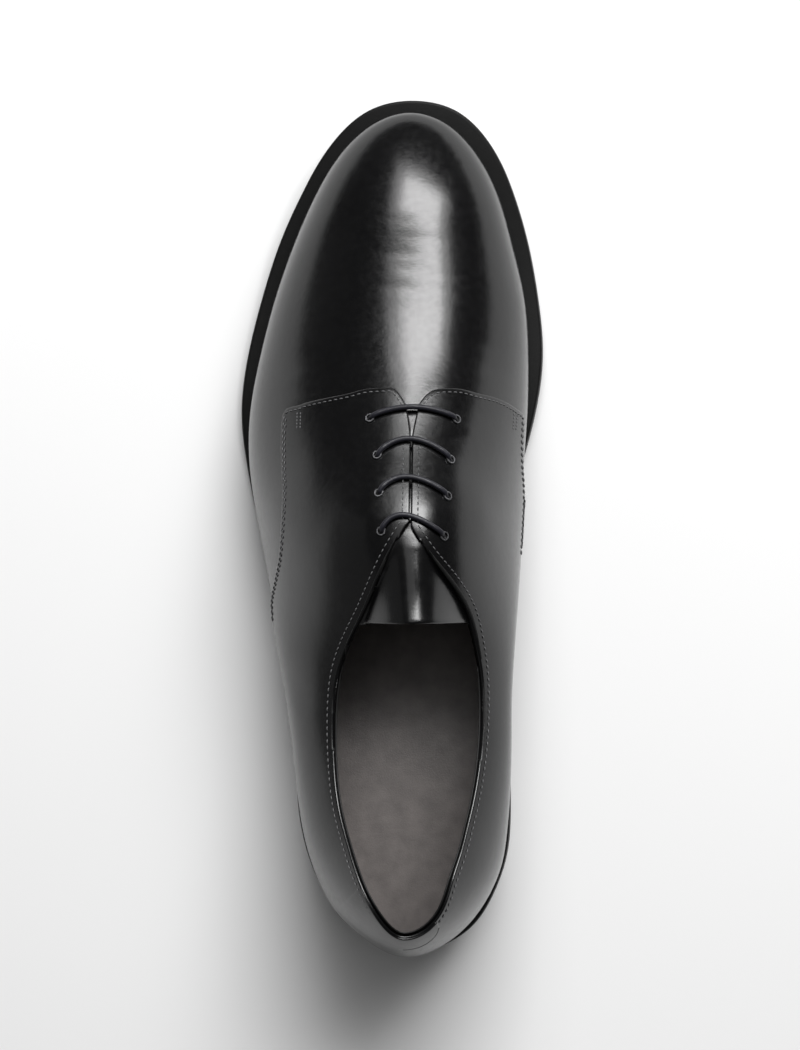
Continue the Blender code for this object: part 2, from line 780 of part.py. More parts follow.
def ring_faces(rings, sides):
    """Faces round a tube that closes on itself, ring by ring."""
    faces = []
    for level in range(rings):
        low = level * sides
        high = (level + 1) % rings * sides
        for i in range(sides):
            k = (i + 1) % sides
            faces.append([low + i, low + k, high + k, high + i])
    return faces


def make_welt(material):
    """Band round the feather edge, open in the middle."""
    w = np.linspace(0, 2 * HALF_GIRTH, WELT_COLUMNS, endpoint=False)
    edge = sole_outline(w)
    toward = inward(sole_outline, w)
    hole = welt_inner_plan(w)
    rings = [(edge + toward * row.inset, row.share) for row in WELT_EDGE]
    rings += [(hole, 1.0), (hole, 0.0)]
    points = []
    for plan, share in rings:
        z = welt_bottom(plan[:, 1]) + WELT_THICK * share
        points += list(np.column_stack([plan, z]))
    return mesh_object("welt", points, ring_faces(len(rings), WELT_COLUMNS), material)


def insole_outline(w):
    return welt_inner_plan(w) + inward(upper_outline, w) * GAP


def sock_outline(w):
    """Edge of the sock, just inside the upper's wall at the feather."""
    station = HALF_GIRTH - np.abs(w - HALF_GIRTH) + HEEL_STATION
    thin = np.clip((SOCK_THIN_WALL_START - station) / WALL_BLEND, 0, 1)
    depth = feather_tuck(w) + WALL + 2 * GAP - thin * (WALL + QUARTER_STEP - QUARTER_WALL)
    return upper_outline(w) + inward(upper_outline, w) * depth[..., None]


def make_tongue(material):
    """Arched sheet under the facings, free above the throat."""
    names = ("left", "right", "open_middle", "open_half", "lift")
    y_up = column(TONGUE, "y")[::-1]
    track = {name: cubic(y_up, column(TONGUE, name)[::-1]) for name in names}
    rows = int((y_up[-1] - y_up[0]) * TONGUE_ROWS_PER_MM) + 1
    share = np.linspace(-1, 1, TONGUE_COLUMNS + 1)
    grids = {"top": [], "bottom": []}
    for y in np.linspace(y_up[-1], y_up[0], rows):
        left = track["left"](y)
        right = track["right"](y)
        x = (left + right) / 2 + (right - left) / 2 * share
        along = np.full_like(x, y)
        slope_x, slope_y = slopes(x, along)
        steep = np.sqrt(1 + slope_x ** 2 + slope_y ** 2)
        open_share = np.clip(np.abs(x - track["open_middle"](y)) / track["open_half"](y), 0, 1)
        gain = np.maximum(track["lift"](y), 0) * (1 - open_share ** 2) ** TONGUE_CROWN_POWER
        top = vamp_height(x, along) - (inner_depth(y) + TONGUE_GAP) * steep + gain
        grids["top"].append(np.column_stack([x, along, top]))
        grids["bottom"].append(np.column_stack([x, along, top - TONGUE_THICK * steep]))
    columns = TONGUE_COLUMNS
    size = rows * (columns + 1)
    points = [point for name in ("bottom", "top") for row in grids[name] for point in row]
    faces = []
    for level in (0, 1):
        for i in range(rows - 1):
            for j in range(columns):
                base = level * size + i * (columns + 1) + j
                face = [base, base + 1, base + columns + 2, base + columns + 1]
                faces.append(face if level else face[::-1])
    rim = [i * (columns + 1) + j for i, j in rim_of(rows, columns)]
    for here, there in zip(rim, rim[1:] + rim[:1]):
        faces.append([here, there, there + size, here + size])
    return mesh_object("tongue", points, faces, material)


def above_quarter(x, y, distance):
    """A point a distance above the quarter's face, and the way up there."""
    slope_x, slope_y = slopes(x, y)
    up = np.array([-float(slope_x), -float(slope_y), 1.0])
    up /= np.linalg.norm(up)
    point = np.array([x, y, float(vamp_height(x, y))])
    return point + up * (QUARTER_STEP + distance), up


def bar_plan(bar, share):
    """Plan point of a lace bar, on the parabola through its three points."""
    ends = np.array([[bar.lateral_x, bar.lateral_y], [bar.medial_x, bar.medial_y]])
    middle = np.array([bar.middle_x, bar.middle_y])
    control = 2 * middle - ends.mean(axis=0)
    return ends[0] * (1 - share) ** 2 + control * 2 * share * (1 - share) + ends[1] * share ** 2


def make_lace_bar(number, bar, material):
    """Round cord between two eyelets, held just over the quarters."""
    length = math.hypot(bar.medial_x - bar.lateral_x, bar.medial_y - bar.lateral_y)
    clear = (EYELET_OUTER_RADIUS + 2 * GAP) / length
    curve = bpy.data.curves.new(f"lace_bar_{number}", "CURVE")
    curve.dimensions = "3D"
    curve.bevel_depth = LACE_RADIUS * MM
    curve.bevel_resolution = 2
    curve.use_fill_caps = True
    spline = curve.splines.new("POLY")
    stops = np.linspace(clear, 1 - clear, LACE_STOPS)
    spline.points.add(len(stops) - 1)
    for point, share in zip(spline.points, stops):
        x, y = bar_plan(bar, share)
        place_up, _ = above_quarter(x, y, GAP + LACE_RADIUS)
        point.co = (*(place_up * MM), 1.0)
    curve.materials.append(material)
    thing = bpy.data.objects.new(f"lace_bar_{number}", curve)
    bpy.context.scene.collection.objects.link(thing)
    return thing


def make_eyelet(name, x, y, material):
    """Small ring that lies on the quarter round a lace hole."""
    centre, up = above_quarter(x, y, GAP)
    turn = Vector((0, 0, 1)).rotation_difference(Vector(up))
    profile = [
        (EYELET_INNER_RADIUS, 0.0),
        (EYELET_OUTER_RADIUS, 0.0),
        (EYELET_OUTER_RADIUS - EYELET_BEVEL, EYELET_THICK),
        (EYELET_INNER_RADIUS, EYELET_THICK),
    ]
    points = []
    for radius, height in profile:
        for i in range(EYELET_SIDES):
            angle = 2 * math.pi * i / EYELET_SIDES
            point = turn @ Vector((radius * math.cos(angle), radius * math.sin(angle), height))
            points.append(np.array(point) + centre)
    return mesh_object(name, points, ring_faces(len(profile), EYELET_SIDES), material)


def main():
    for thing in list(bpy.data.objects):
        bpy.data.objects.remove(thing)

    black_leather = finish("upper_leather", (0.012, 0.012, 0.013), 0.22)
    tongue_leather = finish("tongue_leather", (0.014, 0.014, 0.015), 0.25)
    sole_leather = finish("sole_leather", (0.02, 0.019, 0.018), 0.55)
    rubber = finish("heel_rubber", (0.018, 0.018, 0.018), 0.75)
    board = finish("insole_board", (0.35, 0.25, 0.16), 0.8)
    sock_leather = finish("sock_leather", (0.16, 0.14, 0.13), 0.5)
    lace_cord = finish("lace_cord", (0.015, 0.016, 0.02), 0.5)
    eyelet_metal = finish("eyelet_metal", (0.3, 0.3, 0.31), 0.35, 0.9)

    heel = np.linspace(HEEL_STATION, HEEL_BREAST_STATION, HEEL_ROWS)
    make_slab("outsole", sole_outline, SOLE_ROWS, OUTSOLE_EDGE, sole_bottom, sole_top, sole_leather)
    make_welt(sole_leather)
    make_slab(
        "heel_stack", sole_outline, heel, STACK_EDGE,
        stack_bottom, stack_top, sole_leather, HEEL_BREAST_HOLLOW,
    )
    make_slab(
        "top_piece", sole_outline, heel, TOP_PIECE_EDGE,
        np.zeros_like, top_piece_top, rubber, HEEL_BREAST_HOLLOW,
    )
    make_slab("insole", insole_outline, SOLE_ROWS, PLAIN_EDGE, welt_bottom, welt_top, board)
    make_slab("sock_liner", sock_outline, SOLE_ROWS, PLAIN_EDGE, feather_height, sock_top, sock_leather)
    make_upper(black_leather)
    make_tongue(tongue_leather)
    for number, bar in enumerate(LACE_BARS, start=1):
        make_lace_bar(number, bar, lace_cord)
        make_eyelet(f"eyelet_lateral_{number}", bar.lateral_x, bar.lateral_y, eyelet_metal)
        make_eyelet(f"eyelet_medial_{number}", bar.medial_x, bar.medial_y, eyelet_metal)


main()
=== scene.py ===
"""Looks of a left derby shoe in black polished leather.

Frame: +Y points to the toe, +X to the medial side (the big toe), +Z up, and the
floor is z = 0. Tables and sizes are in millimetres and are turned to metres when
a mesh is made. The last surface is worked out as it is for the solids: a point of
it has a station, from the back of the heel to the tip of the toe on each side,
and a lift, which is -1 at the feather edge, 0 at the widest line of the section
and 1 on the crest.
"""

import math
from collections import namedtuple

import bpy
import numpy as np
from mathutils import Matrix, Vector


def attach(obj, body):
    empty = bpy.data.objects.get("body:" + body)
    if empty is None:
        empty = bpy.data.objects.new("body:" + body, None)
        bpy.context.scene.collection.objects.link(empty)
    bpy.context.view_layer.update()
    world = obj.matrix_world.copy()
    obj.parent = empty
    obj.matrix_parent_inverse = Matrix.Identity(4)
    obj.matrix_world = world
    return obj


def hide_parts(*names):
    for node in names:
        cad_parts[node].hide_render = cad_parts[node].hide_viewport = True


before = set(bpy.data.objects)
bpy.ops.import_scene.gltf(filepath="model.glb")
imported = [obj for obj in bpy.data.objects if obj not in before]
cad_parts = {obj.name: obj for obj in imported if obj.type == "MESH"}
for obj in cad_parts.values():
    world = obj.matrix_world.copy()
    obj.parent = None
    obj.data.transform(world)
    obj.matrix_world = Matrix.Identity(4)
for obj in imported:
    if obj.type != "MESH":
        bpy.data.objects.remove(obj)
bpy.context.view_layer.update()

MM = 0.001

# Thicknesses and gaps, as in the solids
GAP = 0.3
OUTSOLE_THICK = 5.0
WELT_THICK = 3.0
WELT_WIDTH_INSIDE_FEATHER = 6.0
TOP_PIECE_THICK = 6.0
WALL = 2.2
QUARTER_WALL = 2.4
QUARTER_STEP = 1.0
SOCK_THICK = 1.5
TONGUE_THICK = 2.4
TONGUE_GAP = 0.6
TONGUE_LACE_ROOM = 0.7
TONGUE_ROOM_START = -8.0
TONGUE_ROOM_BLEND = 6.0
LACE_RADIUS = 0.95

# Stations of the last
HEEL_STATION = -166.0
TOE_STATION = 164.0
HALF_GIRTH = TOE_STATION - HEEL_STATION
QUARTER_STATION = 30.0
THROAT_STATION = 0.0
TOE_FAN_STATION = 62.0
TOE_FALL_START = 100.0
TOE_FALL_POWER = 2.5
SLIT_HALF_WIDTH = 0.7
WALL_BLEND = 25.0
SLOPE_STEP = 0.5
SOCK_THIN_WALL_START = -60.0
CORNER_ROW = 7
VAMP_CORNER_LIFT = 0.27
QUARTER_CORNER_LIFT = 0.66
LIFT_PULL_POWER = 3
TOP_ROW_POWER = 8
COLLAR_PULL_POWER = 6
TOP_LIFT = 0.995

# Grids of the upper: top stations behind and ahead of the seam, and rows; the
# lining takes every other one of them
TOPS_BEHIND = np.linspace(HEEL_STATION, QUARTER_STATION, 161)
TOPS_AHEAD = np.linspace(QUARTER_STATION, TOE_STATION, 91)
COARSE = 2
WELD_DISTANCE = 0.004
EDGE_STEPS = 5

# Sheets of the upper: the vamp's own thickness, the lining's outer face as a rise
# and a share of the wall's depth, and how much of each row the lining takes
VAMP_SHEET = 1.2
VAMP_RELAX_TIMES = 4
LINING_RISE = 0.05
LINING_OUTER_SHARE = 0.6
LINING_SHARE = 0.996

# Lap of the vamp under the quarters: how far in from the seam, and how deep
Lap = namedtuple("Lap", "reach drop")
LAPS = [Lap(1.8, 0.45), Lap(0.9, 0.2)]

# Camera: the photograph's own place over the pair, turned to this shoe
CAMERA_PLACE = (58.1, -8.2, 1500.0)
CAMERA_AIM = (4.0, 0.0, 30.0)
CAMERA_LENS = 144.0

Outline = namedtuple("Outline", "station lateral_x lateral_y medial_x medial_y")

# Widest line of the upper, seen from above
UPPER_OUTLINE = [
    Outline(-166, 7.3, -148.2, 7.3, -148.2),
    Outline(-149, -7.6, -141.5, 23.1, -141.5),
    Outline(-136.5, -16.6, -133.0, 31.2, -133.0),
    Outline(-126.5, -21.7, -124.5, 36.1, -124.6),
    Outline(-117.5, -24.9, -116.2, 39.1, -116.3),
    Outline(-108.5, -27.3, -107.8, 40.5, -107.8),
    Outline(-100, -29.0, -99.6, 41.3, -99.6),
    Outline(-80, -31.5, -80.0, 42.2, -80.0),
    Outline(-60, -34.4, -60.0, 42.5, -60.0),
    Outline(-40, -38.3, -40.0, 43.5, -40.0),
    Outline(-20, -41.9, -20.0, 44.9, -20.0),
    Outline(0, -46.0, 0.0, 46.0, 0.0),
    Outline(20, -49.3, 20.0, 47.2, 20.0),
    Outline(40, -49.3, 40.0, 48.6, 40.0),
    Outline(60, -45.8, 60.0, 49.0, 60.0),
    Outline(80, -40.7, 80.0, 47.6, 80.0),
    Outline(98, -34.5, 98.0, 43.7, 97.8),
    Outline(116, -27.0, 115.0, 38.7, 115.4),
    Outline(136, -16.0, 132.4, 29.6, 132.4),
    Outline(151, -4.4, 142.0, 19.0, 142.0),
    Outline(164, 7.3, 145.1, 7.3, 145.1),
]

# Trimmed edge of the sole and welt, seen from above
SOLE_OUTLINE = [
    Outline(-166, 7.3, -150.4, 7.3, -150.4),
    Outline(-149, -9.8, -144.0, 25.6, -143.8),
    Outline(-136.5, -19.3, -135.0, 33.8, -135.0),
    Outline(-126.5, -24.7, -125.4, 38.4, -125.6),
    Outline(-117.5, -28.2, -116.9, 41.2, -117.0),
    Outline(-108.5, -30.6, -108.2, 42.5, -108.2),
    Outline(-100, -32.0, -99.8, 42.8, -99.8),
    Outline(-80, -33.0, -80.0, 42.0, -80.0),
    Outline(-60, -34.0, -60.0, 39.5, -60.0),
    Outline(-40, -37.0, -40.0, 36.8, -40.0),
    Outline(-20, -41.8, -20.0, 36.4, -20.0),
    Outline(0, -47.2, 0.0, 40.0, 0.0),
    Outline(20, -51.4, 20.0, 46.0, 20.0),
    Outline(40, -53.6, 40.0, 51.4, 40.0),
    Outline(60, -51.4, 60.0, 54.0, 60.0),
    Outline(80, -46.5, 80.0, 52.5, 80.0),
    Outline(98, -39.9, 100.2, 49.0, 99.6),
    Outline(116, -31.9, 117.6, 43.7, 117.9),
    Outline(136, -21.1, 135.2, 35.0, 135.8),
    Outline(151, -7.9, 146.8, 22.8, 147.1),
    Outline(164, 7.4, 150.3, 7.4, 150.3),
]

# Crest of the last: its place seen from above, its height by station, and how
# hollow the section's shoulders are (0 an ellipse, 1 a parabola)
Crest = namedtuple("Crest", "station x y z hollow")
CREST = [
    Crest(-166, 8.5, -109.0, 110.0, 0.15),
    Crest(-136.5, 8.5, -106.5, 101.0, 0.15),
    Crest(-117.5, 8.6, -101.0, 92.5, 0.18),
    Crest(-100, 8.7, -92.5, 85.5, 0.22),
    Crest(-80, 8.9, -78.0, 79.5, 0.30),
    Crest(-60, 9.1, -60.0, 76.5, 0.38),
    Crest(-40, 9.3, -40.0, 80.5, 0.45),
    Crest(-20, 9.5, -20.0, 89.0, 0.50),
    Crest(0, 9.6, 0.0, 90.5, 0.52),
    Crest(20, 9.6, 20.0, 80.5, 0.50),
    Crest(40, 9.4, 40.0, 69.8, 0.42),
    Crest(60, 9.0, 60.0, 61.0, 0.30),
    Crest(80, 8.6, 79.0, 55.0, 0.20),
    Crest(98, 8.2, 94.0, 51.0, 0.12),
    Crest(116, 7.8, 106.0, 47.5, 0.06),
    Crest(136, 7.5, 117.0, 42.0, 0.02),
    Crest(151, 7.3, 123.5, 37.5, 0.0),
    Crest(164, 7.3, 126.0, 34.0, 0.0),
]

# How far the widest line is above the feather edge, and how far the feather
# edge is tucked in under it
Tuck = namedtuple("Tuck", "station lateral_rise medial_rise lateral_tuck medial_tuck")
TUCK = [
    Tuck(-166, 17, 17, 2.5, 2.5),
    Tuck(-126.5, 17, 17, 2.2, 2.4),
    Tuck(-100, 17, 18, 2.2, 2.6),
    Tuck(-80, 17, 20, 2.8, 4.2),
    Tuck(-60, 17, 22, 4.0, 7.0),
    Tuck(-40, 16, 23, 5.0, 10.0),
    Tuck(-20, 15, 22, 4.6, 11.2),
    Tuck(0, 14, 20, 3.6, 9.0),
    Tuck(20, 13, 16, 3.0, 5.0),
    Tuck(40, 11.5, 12.5, 2.8, 3.2),
    Tuck(60, 10, 10, 2.6, 2.6),
    Tuck(80, 8.5, 8.5, 2.4, 2.4),
    Tuck(116, 7, 7, 2.2, 2.2),
    Tuck(164, 6, 6, 2.0, 2.0),
]

# Topline: how far it leans in from the widest line, seen from above
Topline = namedtuple("Topline", "station lateral_lean medial_lean")
TOPLINE = [
    Topline(-166, 9.5, 9.5),
    Topline(-156.5, 11.1, 9.7),
    Topline(-147, 13.2, 11.2),
    Topline(-135, 15.2, 13.7),
    Topline(-123, 15.5, 14.4),
    Topline(-111, 15.1, 13.4),
    Topline(-100, 14.5, 11.9),
    Topline(-80, 14.5, 9.6),
    Topline(-65, 16.2, 8.8),
    Topline(-50, 20.5, 9.6),
    Topline(-40, 26.0, 11.6),
    Topline(-30, 32.8, 14.6),
    Topline(-20, 39.2, 20.6),
    Topline(-10, 46.0, 29.0),
    Topline(0, 54.2, 36.2),
]

# Height of the outsole's underside along the shoe
SoleBottom = namedtuple("SoleBottom", "y z")
SOLE_BOTTOM = [
    SoleBottom(-160, 22.6),
    SoleBottom(-150, 22.5),
    SoleBottom(-110, 21.5),
    SoleBottom(-75, 18.5),
    SoleBottom(-45, 12.5),
    SoleBottom(-10, 4.2),
    SoleBottom(8, 1.3),
    SoleBottom(24, 0.0),
    SoleBottom(60, 0.0),
    SoleBottom(78, 0.4),
    SoleBottom(95, 1.6),
    SoleBottom(120, 5.0),
    SoleBottom(150, 10.6),
    SoleBottom(160, 12.8),
]
BALL_FLAT_BACK = 24
BALL_FLAT_FRONT = 60

# Front edge and side seam of the quarters: the lift and station of the first
# rows, then the place seen from above
SeamFoot = namedtuple("SeamFoot", "lift lateral_station medial_station")
SEAM_FOOT = [
    SeamFoot(-1.0, -50, -36),
    SeamFoot(-0.5, -43, -28),
    SeamFoot(0.0, -34, -14),
]
EdgePoint = namedtuple("EdgePoint", "lateral_x lateral_y medial_x medial_y")
QUARTER_EDGE = [
    EdgePoint(-39.8, -26.5, 46.4, 0.0),
    EdgePoint(-38.0, -18.0, 46.5, 10.0),
    EdgePoint(-35.8, -7.0, 46.3, 20.0),
    EdgePoint(-34.9, 14.0, 46.3, 29.0),
    EdgePoint(-35.2, 37.4, 46.6, 37.0),
    EdgePoint(-29.0, 40.8, 43.4, 40.4),
    EdgePoint(-21.0, 42.6, 38.0, 43.0),
    EdgePoint(-13.0, 44.0, 31.0, 44.6),
    EdgePoint(-5.0, 45.8, 24.0, 45.9),
    EdgePoint(2.0, 46.0, 17.2, 45.4),
    EdgePoint(6.6, 41.6, 12.6, 41.4),
    EdgePoint(8.2, 37.0, 11.2, 37.0),
    EdgePoint(9.6, 30.0, 9.6, 30.0),
]
LAST_ROW = len(SEAM_FOOT) + len(QUARTER_EDGE) - 1
ROWS = np.linspace(0, LAST_ROW, 91)

# Tongue: its edges and the height that its middle gains between the rims
TongueRow = namedtuple("TongueRow", "y left right open_middle open_half lift")
TONGUE = [
    TongueRow(44, -4, 23, 9.6, 6.0, 0.0),
    TongueRow(30, -5, 24, 9.6, 6.0, 0.0),
    TongueRow(15, -6, 26, 9.6, 6.0, 0.0),
    TongueRow(2, -7, 27.5, 9.6, 6.0, 0.0),
    TongueRow(-8, -8.2, 28.8, 9.2, 4.6, 0.5),
    TongueRow(-16, -9.0, 30.0, 9.9, 8.6, 2.8),
    TongueRow(-24, -9.6, 31.0, 10.6, 12.8, 6.4),
    TongueRow(-31, -9.6, 31.6, 11.0, 16.0, 11.0),
    TongueRow(-34, -8.6, 31.0, 11.3, 17.6, 13.2),
]
TONGUE_TRIM = 1.0
TONGUE_ROWS = 90
TONGUE_COLUMNS = 61
TONGUE_STITCH_INSET = 2.0
TONGUE_STITCH_SIDE_INSET = 3.0
TONGUE_STITCH_POINTS = 200
TONGUE_SLOPE_STEP = 0.2

# Lace bars, seen from above: both eyelets and the middle of the bar
LaceBar = namedtuple("LaceBar", "lateral_x lateral_y middle_x middle_y medial_x medial_y")
LACE_BARS = [
    LaceBar(-4.4, 35.7, 9.7, 39.0, 24.0, 35.5),
    LaceBar(-1.6, 22.9, 9.4, 28.0, 22.2, 21.5),
    LaceBar(-0.7, 10.0, 8.6, 14.9, 21.3, 9.1),
    LaceBar(0.3, -2.5, 7.9, 2.4, 20.3, -4.1),
]

# Heel
HEEL_BREAST_STATION = -74.0
HEEL_BREAST_HOLLOW = 4.0

# Edges of the flat pieces, from bottom to top: how far in from the outline at a
# share of the thickness
EdgeRow = namedtuple("EdgeRow", "inset share")
OUTSOLE_EDGE = [
    EdgeRow(1.4, 0.0), EdgeRow(0.7, 0.07), EdgeRow(0.2, 0.25), EdgeRow(0.0, 0.5),
    EdgeRow(0.1, 0.75), EdgeRow(0.4, 0.92), EdgeRow(1.0, 1.0),
]
WELT_EDGE = [
    EdgeRow(1.2, 0.0), EdgeRow(0.6, 0.12), EdgeRow(0.35, 0.35), EdgeRow(0.3, 0.6),
    EdgeRow(0.5, 0.82), EdgeRow(0.8, 0.95), EdgeRow(1.3, 1.0),
]
STACK_EDGE = [
    EdgeRow(1.8, 0.0), EdgeRow(1.4, 0.31), EdgeRow(1.7, 0.325), EdgeRow(1.38, 0.34),
    EdgeRow(0.95, 0.64), EdgeRow(1.25, 0.655), EdgeRow(0.93, 0.67), EdgeRow(0.5, 1.0),
]
TOP_PIECE_EDGE = [EdgeRow(2.6, 0.0), EdgeRow(2.0, 0.1), EdgeRow(1.8, 0.25), EdgeRow(1.8, 1.0)]
SOCK_EDGE = [EdgeRow(0.0, 0.0), EdgeRow(0.0, 0.7), EdgeRow(0.3, 1.0)]
SLAB_COLUMNS = 12
SLAB_SHARP_ANGLE = 40
WELT_ROWS = 420
WELT_SHARP_ANGLE = 50

# Soft folds of worn leather, seen from above: where each starts and ends, how
# wide it is, and how far it stands up or sinks in
Fold = namedtuple("Fold", "x0 y0 x1 y1 width rise")
VAMP_FOLDS = [
    Fold(-12, 83, 26, 80, 2.4, -0.07),
    Fold(0, 89, 30, 85, 2.0, -0.06),
    Fold(-14, 95, 16, 93, 2.2, -0.06),
    Fold(4, 100, 28, 97, 1.8, -0.05),
    Fold(-8, 107, 16, 104, 2.0, -0.04),
    Fold(-30, 62, 0, 57, 3.0, -0.12),
    Fold(18, 66, 42, 61, 2.8, -0.12),
    Fold(-36, 50, -12, 54, 3.4, 0.14),
    Fold(24, 52, 44, 49, 3.2, 0.12),
]
QUARTER_FOLDS = [
    Fold(0, 24, -10, -18, 5.0, 0.50),
    Fold(-14, 26, -24, -14, 6.0, -0.35),
    Fold(20, 28, 28, 31.5, 1.5, -0.25),
    Fold(26, 18, 36, -8, 5.0, 0.25),
    Fold(-36, -46, -26, -66, 5.0, -0.30),
    Fold(-24, -124, -30, -98, 5.0, 0.20),
    Fold(38, -44, 40, -72, 5.0, -0.20),
]

# Stitches: rows along the edges of the quarters, and bar tacks seen from above
STITCH_PITCH = 2.2
STITCH_LENGTH = 1.5
STITCH_RADIUS = 0.22
STITCH_RISE = 0.08
STITCH_SIDES = 6
STITCH_PATH_POINTS = 400
# One stitch from end to end: its rise over the leather and its share of the radius
StitchPoint = namedtuple("StitchPoint", "rise share")
STITCH_POINTS = [
    StitchPoint(-0.20, 0.4), StitchPoint(0.02, 0.9), StitchPoint(0.08, 1.0),
    StitchPoint(0.02, 0.9), StitchPoint(-0.20, 0.4),
]
# Middle line of the last: its place and height, and how far it runs either way
LastMiddle = namedtuple("LastMiddle", "x y z")
LAST_MIDDLE = LastMiddle(8.0, 105.0, 35.0)
EdgeStitch = namedtuple("EdgeStitch", "edge first last inset")
EDGE_STITCHES = [
    EdgeStitch("collar", HEEL_STATION, 26.5, 1.9),
    EdgeStitch("front", 2.2, 13.6, 1.1),
    EdgeStitch("front", 2.2, 6.9, 2.1),
]
# Dog-tail at the back of the collar: the lift of its lower edge, at a share of its
# way from the medial side round the heel to where it fades on the lateral side
DogTail = namedtuple("DogTail", "share lift")
DOG_TAIL = [
    DogTail(0.0, 0.44), DogTail(0.06, 0.405), DogTail(0.18, 0.37), DogTail(0.35, 0.348),
    DogTail(0.6, 0.34), DogTail(0.75, 0.30), DogTail(1.0, 0.20),
]
DOG_TAIL_BACK = 0.6
DOG_TAIL_MEDIAL_STATION = -151.5
DOG_TAIL_LATERAL_STATION = -136.0
DOG_TAIL_STEP = 0.6
DOG_TAIL_FADED_STEP = 0.05
DOG_TAIL_SUNK = 0.2
# Dark matt tube along the dog-tail's lower edge, painted shade that stands in for the shadow in the gap
# under that edge: its radius, its rise over the last, the share of the tail where it ends, and its sides
DOG_TAIL_SHADE_RADIUS = 0.38
DOG_TAIL_SHADE_RISE = 0.3
DOG_TAIL_SHADE_END = 0.62
DOG_TAIL_SHADE_SIDES = 10
DOG_TAIL_COLUMNS = 60
DOG_TAIL_ROWS = 16
BarTack = namedtuple("BarTack", "x0 y0 x1 y1")
BAR_TACKS = [
    BarTack(-29.9, 38.6, -29.9, 32.3),
    BarTack(-28.7, 38.6, -28.7, 32.3),
    BarTack(43.2, 38.8, 42.9, 33.2),
    BarTack(44.4, 38.6, 43.8, 33.2),
]
TACK_PITCH = 1.25
TACK_LENGTH = 0.95
TACK_PATH_POINTS = 12

# Lace: depth of its runs under the quarters, how flat they are pressed there, and
# its way through the eyelets (L lateral, M medial, by bar) from one end to the other
LACE_DEPTH = 2.05
LACE_PRESS = 0.5
LACE_WAY = ["4M", "4L", "3L", "3M", "1M", "1L", "2L", "2M", "4M"]
LACE_ASIDE = {"3M1M": -1.8, "2M4M": 1.8}
LACE_HOLE_HEIGHT = 0.2
LACE_END_SHARE = 0.05
LACE_END_DIP = 0.45
LACE_RUN_REACH = 2.6
LACE_RUN_POINTS = 8
LACE_STEP = 0.22
LACE_SIDES = 24
BAR_SHARES = [0.035, *np.linspace(0.09, 0.91, 15), 0.965]
BRAID_PERIOD = 1.5
BRAID_STRANDS = 3
BRAID_RISE = 0.07


def cubic(knots, values):
    """Natural cubic spline through (knot, value) pairs."""
    knots = np.asarray(knots, dtype=float)
    values = np.asarray(values, dtype=float)
    count = len(knots)
    step = np.diff(knots)
    matrix = np.eye(count)
    right = np.zeros(count)
    for i in range(1, count - 1):
        matrix[i, i - 1] = step[i - 1]
        matrix[i, i] = 2 * (step[i - 1] + step[i])
        matrix[i, i + 1] = step[i]
        rise_after = (values[i + 1] - values[i]) / step[i]
        rise_before = (values[i] - values[i - 1]) / step[i - 1]
        right[i] = 6 * (rise_after - rise_before)
    bend = np.linalg.solve(matrix, right)

    def value(x):
        x = np.clip(np.asarray(x, dtype=float), knots[0], knots[-1])
        i = np.clip(np.searchsorted(knots, x) - 1, 0, count - 2)
        width = step[i]
        before = x - knots[i]
        after = knots[i + 1] - x
        cubic_part = (bend[i] * after ** 3 + bend[i + 1] * before ** 3) / (6 * width)
        left = (values[i] / width - bend[i] * width / 6) * after
        return cubic_part + left + (values[i + 1] / width - bend[i + 1] * width / 6) * before

    return value


def steady(knots, values):
    """Smooth curve through (knot, value) pairs that never swings past them."""
    knots = np.asarray(knots, dtype=float)
    values = np.asarray(values, dtype=float)
    step = np.diff(knots)
    rise = np.diff(values) / step
    slope = np.concatenate([[rise[0]], (rise[:-1] + rise[1:]) / 2, [rise[-1]]])
    slope[1:-1][rise[:-1] * rise[1:] <= 0] = 0
    limit = 3 * np.minimum(np.abs(np.r_[rise[0], rise]), np.abs(np.r_[rise, rise[-1]]))
    slope = np.clip(slope, -limit, limit)

    def value(x):
        x = np.clip(np.asarray(x, dtype=float), knots[0], knots[-1])
        i = np.clip(np.searchsorted(knots, x) - 1, 0, len(step) - 1)
        share = (x - knots[i]) / step[i]
        start = (1 + 2 * share) * (1 - share) ** 2 * values[i]
        end = share ** 2 * (3 - 2 * share) * values[i + 1]
        bend = share * (1 - share) ** 2 * slope[i] - share ** 2 * (1 - share) * slope[i + 1]
        return start + end + bend * step[i]

    return value


def mirrored(knots, values, both=True):
    """Spline that is level at its first knot, and at its last one too if both."""
    knots = np.asarray(knots, dtype=float)
    values = np.asarray(values, dtype=float)
    all_knots = np.concatenate([2 * knots[0] - knots[:0:-1], knots])
    all_values = np.concatenate([values[:0:-1], values])
    if both:
        all_knots = np.concatenate([all_knots, 2 * knots[-1] - knots[-2::-1]])
        all_values = np.concatenate([all_values, values[-2::-1]])
    curve = cubic(all_knots, all_values)
    return lambda x: curve(np.clip(x, knots[0], knots[-1]))


def round_trip(stations, lateral, medial):
    """Spline round the shoe: up the lateral side and back down the medial."""
    stations = np.asarray(stations, dtype=float)
    there = stations - HEEL_STATION
    back = 2 * HALF_GIRTH - there[-2:0:-1]
    once = np.concatenate([there, back])
    values = np.concatenate([lateral, np.asarray(medial)[-2:0:-1]])
    girth = 2 * HALF_GIRTH
    knots = np.concatenate([once - girth, once, once + girth])
    return cubic(knots, np.tile(values, 3))


def column(rows, name):
    return np.array([getattr(row, name) for row in rows], dtype=float)


def unit(ways):
    """Vectors of length one."""
    return ways / np.linalg.norm(ways, axis=-1, keepdims=True)


def place(station, side):
    """Place on the round trip of a station on one side (-1 lateral, 1 medial)."""
    along = np.asarray(station, dtype=float) - HEEL_STATION
    if side < 0:
        return along
    return 2 * HALF_GIRTH - along


